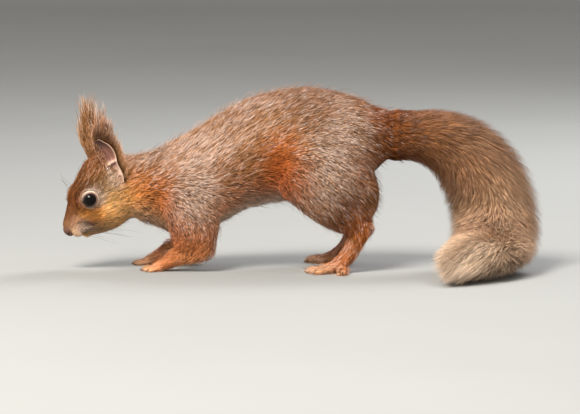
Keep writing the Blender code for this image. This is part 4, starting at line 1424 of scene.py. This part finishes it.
def lock_mesh(name, spine, width, flatness, facing, tints, places):
    """Spindles: spine (n, k, 3) in mm, width (n, k - 2), tints (n, k, 3), places (n, 2) on the unwrap."""
    count, steps = spine.shape[:2]
    inner = steps - 2
    along = unit(spine[:, 2:] - spine[:, :-2])
    across = unit(np.cross(along, facing[:, None]))
    over = np.cross(along, across)
    ring = turned(RING, across[:, :, None], flatness * over[:, :, None]) * width[:, :, None, None] / 2
    rings = spine[:, 1:-1, None] + ring
    points = np.concatenate((spine[:, :1], rings.reshape(count, -1, 3), spine[:, -1:]), 1)
    faces = lock_faces(inner)[None] + np.arange(count)[:, None, None] * points.shape[1]
    mesh = new_mesh(name, points.reshape(-1, 3), faces.reshape(-1, 3))
    # painted light on one outer side of each lock, painted shade on the other and on the side towards the
    # skin
    lit = draw.choice((-SIDE_LIGHT, SIDE_LIGHT), count)
    sides = np.stack((np.full(count, UNDERSIDE_SHADE), 1 + lit, 1 - lit), 1)[:, None, :, None]
    ring_tints = (tints[:, 1:-1, None] * sides).reshape(count, -1, 3)
    paint_points(mesh, np.concatenate((tints[:, :1], ring_tints, tints[:, -1:]), 1).reshape(-1, 3))
    ring_rise = np.linspace(-0.5, 0.5, inner) if inner > 1 else np.zeros(1)
    ring_patch = RING_PATCH * (1, 0.5) + ring_rise[:, None, None] * (0, 1)
    patch = np.vstack(((0.0, -1.0), ring_patch.reshape(-1, 2), (0.0, 1.0)))
    corner_places = (places[:, None] + PATCH * patch).reshape(-1, 2)[faces.ravel()]
    mesh.uv_layers.new(name="OFBake").data.foreach_set("uv", corner_places.astype(np.float32).ravel())
    return mesh


hair_look, hair_inputs = painted("coat_hair", 0.55, 700.0, 0.10)
hair_inputs["Specular IOR Level"].default_value = 0.04
piece_triangles = []


def add_coat(name, spine, width, flatness, facing, tints, places):
    """One piece of the coat."""
    mesh = lock_mesh(name, spine, width, flatness, facing, tints, places)
    add_piece(name, mesh, hair_look)
    piece_triangles.append(len(mesh.polygons))


def add_coat_pieces(names, order, spine, width, facing, tints, places):
    """Locks in the given order, shared out evenly over several pieces."""
    for name, part in zip(names, np.array_split(order, len(names))):
        add_coat(name, spine[part], width[part], 0.6, facing[part], tints[part], places[part])


# %% Roots
face_ways = face_normals(skin_points, skin_faces)
areas = np.linalg.norm(face_ways, axis=1) / 2
face_ways = unit(face_ways)
skin_normals = vertex_normals(skin_points, skin_faces)
shell_of_face = np.repeat(SHELLS, shell_counts)
face_middles = skin_points[skin_faces].mean(1)


def scattered(chosen, density):
    """Even random roots on the chosen faces: stepping through their summed area, each step jittered."""
    chosen = np.flatnonzero(chosen)
    share = np.cumsum(areas[chosen] * (density[chosen] if np.ndim(density) else density))
    count = int(share[-1])
    steps = (np.arange(count) + draw.random(count)) / count * share[-1]
    face = chosen[np.minimum(np.searchsorted(share, steps), len(chosen) - 1)]
    u, v = draw.random((2, count))
    fold = u + v > 1
    u, v = np.where(fold, 1 - u, u), np.where(fold, 1 - v, v)
    corner = np.stack((1 - u - v, u, v), 1)[..., None]
    return (
        (skin_points[skin_faces[face]] * corner).sum(1),
        unit((skin_normals[skin_faces[face]] * corner).sum(1)),
        (skin_places[face] * corner).sum(1),
    )


def wavering(points, size, seed):
    """Smooth wandering numbers from -1 to 1: the mean of sines of the place along random directions."""
    ways = np.random.default_rng(seed).normal(size=(5, 3)) / size
    starts = np.arange(5) * 1.7
    return np.sin(points @ ways.T + starts).mean(1) * 1.6


def in_tuft(points, flow, size):
    """Long cells along the hair: each point's tuft as a number from 0 to 1, and the way to its middle."""
    along = unit(np.round(2 * flow) + 0.1)
    squeezed = points - 0.8 * (points * along).sum(1, keepdims=True) * along
    squeezed += along * draw.random((len(points), 1)) * size
    cell = np.floor(squeezed / size)
    hashed = np.sin(cell @ np.array((12.9898, 78.233, 37.719))) * 43758.5453
    inward = (cell + 0.5) * size - squeezed
    return hashed - np.floor(hashed), inward - (inward * along).sum(1, keepdims=True) * along


print("skin area", round(areas.sum() / 100), "square cm")

# %% Body coat
COAT_PIECES = ("face", "head", "neck", "shoulders", "flanks", "loins", "haunches", "rump")
BODY_DENSITY, FACE_DENSITY, FOOT_DENSITY, LID_DENSITY = 4.1, 8.0, 4.6, 9.0  # locks a square mm
QUICK_SHARE = 1.0
BODY_TUFT, FACE_TUFT = 0.8, 0.8  # breadth of a tuft of hair
RUMP_END = 9.0  # the bush's hair starts about this far ahead of the trunk's end
TAIL_REACH = 21.0  # no hair further than this from the tail's path belongs to its bush
RUMP_BLEND = 4.0  # how far hairs of the rump and the bush mingle there
BELLY_SHARE = 0.6  # how dense the coat is on what faces down, against the rest
GATHERING = 0.35  # how far the tips of a tuft close up
GUARD_LENGTH, GUARD_RISE, GUARD_WIDTH = 1.6, 1.9, 0.5  # a guard hair against the hair round it
FRINGES = ((-32.0, 16.0), (-93.0, 7.0))  # x and half width of the loose fringe of belly and throat
main_shell = shell_of_face == "main"
foot_shell = shell_of_face == "foot"
lid_shell = shell_of_face == "lid"


def nearest_tail_step(points):
    """The nearest step of the tail's path to each point, and the distance to it."""
    step = np.empty(len(points), int)
    away = np.empty(len(points))
    for start in range(0, len(points), 20000):
        part = points[start:start + 20000]
        gap = ((part[:, None] - tail_centres[None, ::2]) ** 2).sum(2)
        step[start:start + 20000] = gap.argmin(1) * 2
        away[start:start + 20000] = np.sqrt(gap.min(1))
    return step, away


tail_away = nearest_tail_step(face_middles)[1]
mingled = draw.normal(trunk_high[0] - RUMP_END, RUMP_BLEND, len(face_middles))
faces_back = face_ways[:, 0] > 0.55
near_tail = face_middles[:, 0] > trunk_high[0] - 16.0
on_tail = (face_middles[:, 0] > np.minimum(mingled, trunk_high[0] - 3.0)) | (near_tail & faces_back)
on_tail &= main_shell & (tail_away < TAIL_REACH)
face_back = on_head(face_middles)[:, 0]
on_face = main_shell & (face_back < 46.0) & (face_middles[:, 0] < trunk_low[0] - 12.0)
below = np.clip(1.3 + 1.4 * face_ways[:, 2], BELLY_SHARE, 1)
body_density = np.where(on_face, FACE_DENSITY, BODY_DENSITY * below)
body_density[foot_shell] = FOOT_DENSITY
body_density[lid_shell] = LID_DENSITY
body_density = body_density * QUICK_SHARE
print("triangles under the tail's bush:", on_tail.sum())

# %% Bare ground
# Height up the ear, and half the width kept bare in front of its hollow
HOLLOW_REACH = (
    (-10.5, 0.0),
    (-9.0, 1.2),
    (-6.0, 2.6),
    (-2.0, 3.2),
    (3.0, 2.9),
    (8.0, 3.8),
    (18.0, 4.0),
    (20.0, 0.0),
)
HOLLOW_LEAN = np.array(PINNA)[:, (0, 3)]
FRONT_SHARE = 0.55  # in front of the hollow, hair of the head is let over its edge


def eye_distance(points):
    """Distance from the nearer eyeball's middle, and the angle away from the way it looks."""
    found = []
    for side in (-1, 1):
        centre, look = eye_axes(side)[:2]
        offset = points - centre
        away = np.linalg.norm(offset, axis=1)
        found.append((away, np.arccos(np.clip(offset @ look / np.maximum(away, 1e-6), -1, 1))))
    nearer = found[0][0] < found[1][0]
    return tuple(np.where(nearer, left, right) for left, right in zip(*found))


def before_ear(points):
    """True on the bare ground inside and just before each ear's hollow."""
    found = np.zeros(len(points), bool)
    for side in (-1, 1):
        base, rise, facing, across = ear_axes(side)
        height, out, aside = ((points - base) @ axis for axis in (rise, facing, across))
        reach = read_off(HOLLOW_REACH, height)
        aside = aside - read_off(HOLLOW_LEAN, height)
        found |= (aside < reach) & (aside > -FRONT_SHARE * reach) & (out > -6.0)
    return found


lid_away, lid_angle = eye_distance(face_middles)
outer_lid = lid_shell & (lid_away > EYE_RADIUS + 0.6) & (lid_angle > math.radians(60))
print("triangles of lid with hair:", outer_lid.sum())


# %% Grow the body coat
def coat_locks(roots, normals):
    """Spines, widths and tints of the coat's locks at these roots."""
    count = len(roots)
    lie, sizes, tint = groom_at(roots)
    length, depth, silver = sizes.T
    flow = lie - (lie * normals).sum(1, keepdims=True) * normals
    guard = (draw.random(count) < 0.035 + 0.06 * silver) & (np.linalg.norm(flow, axis=1) > 0.5)
    flow = unit(flow)
    length = 0.88 * length * draw.uniform(0.75, 1.1, count) * np.where(guard, GUARD_LENGTH, 1.0)
    rise = depth * draw.uniform(0.55, 0.95, count) * np.where(guard, GUARD_RISE, 1.0) / length
    hanging = sum(bump(roots[:, 0], *fringe) for fringe in FRINGES) * np.clip(-normals[:, 2], 0, 1)
    hanging *= draw.random(count) < 0.5
    rise = np.clip(rise + 0.4 * hanging, 0.05, 0.8)
    on_face = (head_share(roots) > 0.5)[:, None]
    tufts = [in_tuft(roots, flow, size) for size in (BODY_TUFT, FACE_TUFT)]
    strand = np.where(on_face[:, 0], tufts[1][0], tufts[0][0])
    gather = np.where(on_face, tufts[1][1], tufts[0][1])
    swing = np.radians(3.0) * wavering(roots, 9.0, 5) + np.radians(4.0) * draw.normal(size=count)
    flow = turned(swing[:, None], flow, np.cross(normals, flow))
    way = flow * np.sqrt(1 - rise**2)[:, None] + normals * rise[:, None]
    tip = roots + way * length[:, None] + GATHERING * gather
    bend = (0.10 * length)[:, None] * normals
    spine = np.stack((roots - normals * 0.3, roots + way * (0.58 * length)[:, None] + bend, tip), 1)
    spine[..., 2] = np.maximum(spine[..., 2], 0.1)
    width = np.clip(0.055 * length, 0.14, 0.30) * draw.uniform(0.7, 1.2, count)
    width = width * np.where(guard, GUARD_WIDTH, 1.0)
    tints = lock_tints(roots, tint, depth, silver, guard, strand)
    # painted shade of the folds on each point of a lock that lies in one, and the whiskers' dark root spots
    tints *= fold_shade_and_whisker_spots(spine.reshape(-1, 3)).reshape(count, 3, 1)
    return spine, width[:, None], tints


def lock_tints(roots, tint, depth, silver, guard, strand):
    """Root, shaft and tip colours: darker roots in a deeper coat, for the hair's dark base and painted shade
    down in the coat; some tufts silvered, as pale tips and painted sheen; some dark.
    """
    count = len(roots)
    drift = wavering(roots, 3.0, 9)
    contrast = np.interp(depth, (1.0, 3.0), (0.9, 0.45))
    shade = np.exp(draw.normal(0, 0.2, count) + contrast * (strand - 0.5) + 0.06 * drift)[:, None]
    chance = np.clip(0.88 * silver * (1 + 0.3 * drift) - 0.05, 0, 1)
    pick = 0.6 * strand + 0.4 * draw.random(count)
    silvered = pick > 1 - np.where(guard, 0.05 + 1.4 * chance, 0.2 + 0.7 * chance)
    silvered &= chance > 0.03
    pale = np.where(silvered, draw.uniform(0.35, 0.9, count), 0.0)[:, None]
    pale *= 1 - 0.45 * head_share(roots)[:, None]
    toned = tint * shade * np.where(pick < 0.25, 0.6, 1.0)[:, None]
    shaft = mixed(toned, TINTS["silver"], 0.7 * pale)
    tip = mixed(1.15 * toned, TINTS["silver"], pale)
    # Darker roots where the coat is deeper: the hair's own dark base, and painted shade where little light
    # gets down.
    root = tint * mixed(0.6, np.array((0.16, 0.11, 0.08)), np.clip(depth / 3.5, 0, 1)[:, None])
    return np.stack((root, shaft, tip), 1)


def add_body_coat():
    """The whole coat but the tail's and the ears', in pieces from nose to rump."""
    grown = scattered((main_shell & ~on_tail) | foot_shell | outer_lid, body_density)
    away, angle = eye_distance(grown[0])
    clear = (away > 5.6) | (angle > math.radians(60))
    clear &= ~before_ear(grown[0])
    order = np.flatnonzero(clear)
    order = order[np.argsort(grown[0][order, 0], kind="stable")]
    roots, normals, places = (column[order] for column in grown)
    spine, width, tints = coat_locks(roots, normals)
    names = ["coat_" + word for word in COAT_PIECES]
    add_coat_pieces(names, np.arange(len(roots)), spine, width, normals, tints, places)
    print("body coat:", len(roots), "locks")


add_body_coat()

# %% [markdown]
# ## The bush of the tail
#
# Each hair of the tail grows from the thin cord inside, leans out and then runs with the tail,
# so its tip ends where the solids end, some way further down. The long hairs part along the
# middle and sweep out to both edges, which gives the tail its feathered look. The hair is
# darkest where the tail leaves the rump, with a few frosted tips among it, and pales towards
# its end and along its outer edge.

# %% Tail coat
TAIL_PIECES = ("base", "arch", "fall", "turn", "end")
TAIL_TINTS = (  # share of the path, tint
    (0.0, linear(146, 86, 46)),
    (0.12, linear(176, 120, 76)),
    (0.26, linear(206, 156, 116)),
    (0.36, linear(224, 180, 140)),
    (0.48, linear(222, 180, 144)),
    (0.62, linear(210, 174, 140)),
    (0.85, linear(216, 188, 158)),
    (1.0, linear(210, 186, 160)),
)
# Share of the path, length of the hair
TAIL_HAIR = ((0.0, 10.0), (0.1, 14.0), (0.25, 22.0), (0.5, 27.0), (0.8, 28.0), (1.0, 26.0))
TAIL_DENSITY = 14.0
TAIL_TUFT = 1.0
BUSH_EDGE = 1.04  # the tips end this share of the bush's radius out
STRAIGHTNESS = 0.10  # how far a tip leaves the tail's bend for its hair's own first direction
INNER_SHADE = 0.22  # how much darker the hair is along the tail's inner edge


def at_step(table, step):
    """A table over the tail's steps read between its rows."""
    low = np.clip(step.astype(int), 0, len(table) - 2)
    part = (step - low)[(...,) + (None,) * (table.ndim - 1)]
    return table[low] * (1 - part) + table[low + 1] * part


def bush_point(step, angle, share):
    """Out from the path by share of the bush's half breadth × cos and half thickness × sin."""
    rows = at_step(tail_rows, step)
    return (
        at_step(tail_centres, step)
        + at_step(tail_broad, step) * (rows[:, 3] * np.cos(angle) * share)[:, None]
        + at_step(tail_thin, step) * (rows[:, 4] * np.sin(angle) * share)[:, None]
    )


def tail_hair(roots, normals):
    """Spines from the bone: each tip lies one hair's length on, at its own share of the bush's radius."""
    count = len(roots)
    step = nearest_tail_step(roots)[0]
    offset = roots - tail_centres[step]
    angle = np.arctan2((offset * tail_thin[step]).sum(1), (offset * tail_broad[step]).sum(1))
    run = tail_run[step]
    share_along = run / tail_run[-1]
    length = read_off(TAIL_HAIR, share_along) * draw.uniform(0.7, 1.1, count)
    angle = angle + draw.normal(0, 0.05, count)
    out = draw.beta(3.2, 1.2, count) * 1.08
    rows = tail_rows[step]
    rooted = np.linalg.norm(offset, axis=1) / np.hypot(rows[:, 3] * np.cos(angle), rows[:, 4] * np.sin(angle))
    near_end = np.clip((share_along - 0.78) / 0.1, 0, 1)
    out *= 1 - near_end * draw.random(count)
    rooted *= 1 - near_end
    out = np.maximum(out, rooted + draw.uniform(0.02, 0.12, count))
    out = np.maximum(np.minimum(out, BUSH_EDGE), rooted)
    end_run = run + length * np.sqrt(np.maximum(1 - 0.45 * out**2, 0.2))
    over = np.maximum(end_run - tail_run[-1], 0.0)
    steps_all = np.arange(TAIL_STEPS)
    tip_step = np.interp(np.minimum(end_run, tail_run[-1]), tail_run, steps_all)
    out = np.minimum(out, BUSH_EDGE + 0.3 * np.maximum(rooted - BUSH_EDGE, 0))
    tip = bush_point(tip_step, angle, out) + tail_tangents[-1] * over[:, None] * 0.8
    straight = roots + tail_tangents[step] * (end_run - run)[:, None]
    straight += (tip - at_step(tail_centres, tip_step)) - offset
    tip = tip + STRAIGHTNESS * (straight - tip)
    middle_step = np.interp(run + 0.42 * (end_run - run), tail_run, steps_all)
    half_way = bush_point(middle_step, angle, rooted + 0.72 * (out - rooted))
    spine = np.stack((roots - normals * 0.4, half_way, tip), 1)
    lowest = draw.uniform(0.1, 1.6, (count, 1)) * np.array((1.0, 0.9, 0.5))
    spine[..., 2] = np.maximum(spine[..., 2], lowest)
    return spine, tip, step, offset, angle, near_end


def tail_tints(roots, tip, step, angle, near_end):
    """Root, shaft and tip colours along the tail, in tufts, darker inside its bend and pale outside."""
    count = len(roots)
    share_along = tail_run[step] / tail_run[-1]
    shares, colours = zip(*TAIL_TINTS)
    tint = np.stack([np.interp(share_along, shares, channel) for channel in zip(*colours)], 1)
    strand = in_tuft(tip, tail_tangents[step], TAIL_TUFT)[0]
    shade = np.exp(draw.normal(0, 0.2, count) + 0.6 * (strand - 0.5) + 0.06 * wavering(roots, 6.0, 4))
    inner_edge = np.clip(-np.cos(angle), 0, 1) * np.clip(1.6 - 2 * share_along, 0, 1)
    outer_edge = np.clip(np.cos(angle), 0, 1) * np.clip(share_along / 0.2, 0, 1)
    dark = np.where(draw.random(count) < 0.18, 0.55, 1.0) * (1 - INNER_SHADE * inner_edge)
    shaft = tint * shade[:, None] * dark[:, None]
    pale = draw.uniform(0.0, 0.5, count) * np.clip(0.12 + 1.3 * share_along + 0.5 * outer_edge, 0, 1.3)
    frosted = draw.random(count) < 0.10 * np.clip(1 - share_along / 0.3, 0, 1)
    pale = np.where(frosted, 0.7, pale)[:, None]
    # Dark roots: the hair's own dark base, and painted shade deep inside the bush; lighter near the rump and
    # at the end, where the bush is thin.
    base = np.maximum(np.clip(1 - share_along / 0.1, 0, 1), 1.4 * near_end)[:, None]
    root = shaft * (0.5 * base + np.array((0.26, 0.20, 0.17)) * (1 - base))
    return np.stack((root, shaft, mixed(1.1 * shaft, TINTS["silver"], pale)), 1)


def add_tail_coat():
    """The bush, in pieces from the rump to the tip."""
    roots, normals, places = scattered(on_tail, TAIL_DENSITY * QUICK_SHARE)
    spine, tip, step, offset, angle, near_end = tail_hair(roots, normals)
    width = 0.28 * draw.uniform(0.7, 1.25, (len(roots), 1))
    tints = tail_tints(roots, tip, step, angle, near_end)
    order = np.argsort(tail_run[step] / tail_run[-1], kind="stable")
    names = ["tail_coat_" + word for word in TAIL_PIECES]
    add_coat_pieces(names, order, spine, width, unit(offset), tints, places)
    print("tail coat:", len(roots), "locks")


add_tail_coat()

# %% [markdown]
# ## Ear hair and whiskers
#
# The back of the ear has short fur, its rim a pale fringe, and from its top streams the tuft
# that a red squirrel carries in winter: long loose hair, no thicker at its end than a brush.

# %% Ear coat
# Side, length of the tuft and of its wisps, tint, the way it streams (back, side, up)
# The near tuft on the left is tinted lighter, as painted light where the lamp falls, and the far tuft on the
# right darker, as painted shade.
EAR_COATS = {
    "left": (-1, 17.5, 26.0, "dun", (0.73, 0.08, 0.68)),
    "right": (1, 24.0, 30.0, "taupe", (0.67, 0.08, 0.73)),
}
TUFT_FROM = 9.5  # the tuft's hair starts this far up the cup
EAR_DENSITY = 9.0 * 1.0


def ear_roots(word, rise, facing, across, base):
    """Roots on the back of one cup, and a few of the lining in the front of its hollow."""
    roots, normals, places = scattered(shell_of_face == f"ear_{word}", EAR_DENSITY)
    height = (roots - base) @ rise
    aside = (roots - base) @ across - read_off(HOLLOW_LEAN, height)
    lining = (normals @ facing > 0.3) & (aside < -2.4) & (draw.random(len(roots)) < 0.3)
    kept = (normals @ facing < 0.10) | lining
    return (column[kept] for column in (roots, normals, places, height, aside, lining))


def add_ear_coat(word, side, tuft_length, wisp_length, tint, streams):
    """Short fur up the back of the cup, longer behind and in front, and the tuft on its upper part."""
    base, rise, facing, across = ear_axes(side)
    roots, normals, places, height, aside, lining = ear_roots(word, rise, facing, across, base)
    count = len(roots)
    stream = unit(np.array(streams) * (1, side, 1)) @ HEAD_AXES
    tuft = np.clip((height - TUFT_FROM) / 4.0, 0, 1) * (draw.random(count) < 0.85) * ~lining
    full = np.where(draw.random(count) < 0.14, wisp_length, tuft_length) * draw.uniform(0.5, 1.05, count)
    rear = np.clip(aside / 3.0, 0, 1) * np.clip((15.0 - height) / 5.0, 0, 1)
    front = np.clip(-aside / 3.0, 0, 1) * np.clip((19.0 - height) / 5.0, 0, 1) * ~lining
    tuft = tuft * (1 - 0.7 * front) * (1 - 0.6 * rear)
    short = 3.4 + 5.5 * rear * draw.uniform(0.4, 1.0, count) + 1.2 * front * draw.uniform(0.3, 1.0, count)
    short = np.where(lining, draw.uniform(1.2, 2.2, count), short)
    length = (short + tuft * (full - short))[:, None]
    inward = base + rise * 14.0 - roots
    inward -= (inward @ stream)[:, None] * stream
    rear, front, tuft, lined = (column[:, None] for column in (rear, front, tuft, lining))
    way = unit(
        rise * (1 - 0.75 * tuft) + stream * tuft * 1.5
        + tuft * inward / 30.0 + normals * 0.10 + draw.normal(0, 0.09, (count, 3))
        + rear * (across * 0.55 + normals * 0.35)
        + front * (facing * 0.40 + normals * 0.15)
        + lined * (across * 0.8 + facing * 0.1)
    )
    droop = draw.normal(0, 0.06, (count, 3)) * tuft
    first = roots + way * (length * 0.35) + normals * (0.5 + 0.03 * length)
    second = roots + unit(way + droop) * (length * 0.72) + normals * 0.3
    tip = roots + unit(way + droop * 2.2) * length
    spine = np.stack((roots - normals * 0.15, first, second, tip), 1)
    width = np.hstack((0.18 + 0.12 * tuft, 0.16 + 0.10 * tuft)) * draw.uniform(0.7, 1.25, (count, 1))
    shade = np.exp(draw.normal(0, 0.25, count))[:, None]
    shaft = mixed(TINTS["fawn"], TINTS[tint], tuft)
    shaft = np.where((lining & (height < 2))[:, None], TINTS["pearl"], shaft) * shade
    pale = (draw.random(count) < 0.35)[:, None] * draw.uniform(0.2, 0.7, (count, 1))
    later = mixed(shaft, TINTS["silver"], 0.5 * pale)
    tints = np.stack((shaft, shaft * 1.05, later, mixed(1.1 * shaft, TINTS["silver"], pale)), 1)
    add_coat(f"coat_ear_{word}", spine, width, 0.7, normals, tints, places)
    print(word, "ear:", count, "locks")


for word, row in EAR_COATS.items():
    add_ear_coat(word, *row)

# %% Whiskers
BROW_HAIRS_A_SIDE = 3


def whisker(start, way, length):
    """A thin tapering hair that sets off straight and droops with the square of the distance."""
    along = np.linspace(0, 1, 14)[:, None]
    droop = np.array((0.25, 0.0, -0.5)) * length * along**2 * 0.35
    centre = head_point(start + way * length * along + droop)
    size = 0.075 * (1 - along) ** 0.8 + 0.012
    tangents, thin = carried_axes(centre, (0.1, 0.2, 1.0))
    ring = turned(circle(6)[:, None], np.cross(tangents, thin)[:, None], thin[:, None])
    return closed_stack(centre[:, None] + size[:, None] * ring)


def strayed(way, spread):
    """A direction, a little off its way."""
    return unit(np.array(way) + draw.normal(0, spread, 3))


def add_whiskers():
    """Rows of whiskers on each pad, and a few shorter hairs above each eye."""
    shells = []
    for side in (-1, 1):
        for n in range(WHISKER_ROWS * WHISKERS_A_ROW):
            row, place = divmod(n, WHISKERS_A_ROW)
            way = strayed((0.55 + 0.1 * place, side * (0.9 + 0.15 * row), -0.25 - 0.3 * row), 0.10)
            shells.append(whisker(whisker_root(row, place, side), way, draw.uniform(15, 27)))
        for n in range(BROW_HAIRS_A_SIDE):
            start = np.array((19.0 + 1.3 * n, side * (7.0 + 0.4 * n), 14.6 + 0.3 * n))
            shells.append(whisker(start, strayed((-0.1, side * 0.35, 1.0), 0.18), draw.uniform(7, 12)))
    look = mottled("whisker_hair", 0.4, 60.0, (0.02, 0.014, 0.01), (0.07, 0.05, 0.035))
    add_piece("whiskers", new_mesh("whiskers", *joined(shells)), look)
    print("whiskers and brow hairs:", len(shells))


add_whiskers()

# %% [markdown]
# ## Measure and finish
#
# Loose hair may pass the solids by a few millimetres and no more. The last cell measures the
# box of everything drawn and says by how much the coat makes the animal grow on each side,
# beyond the solids.

# %% Finish
bpy.context.scene.view_settings.view_transform = "Standard"
print("coat triangles:", sum(piece_triangles), "largest piece", max(piece_triangles))
low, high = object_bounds()
for axis, below, above in zip("xyz", (cad_low - low) / MM, (high - cad_high) / MM):
    print(axis, "grows by", round(below, 1), "and", round(above, 1), "mm")
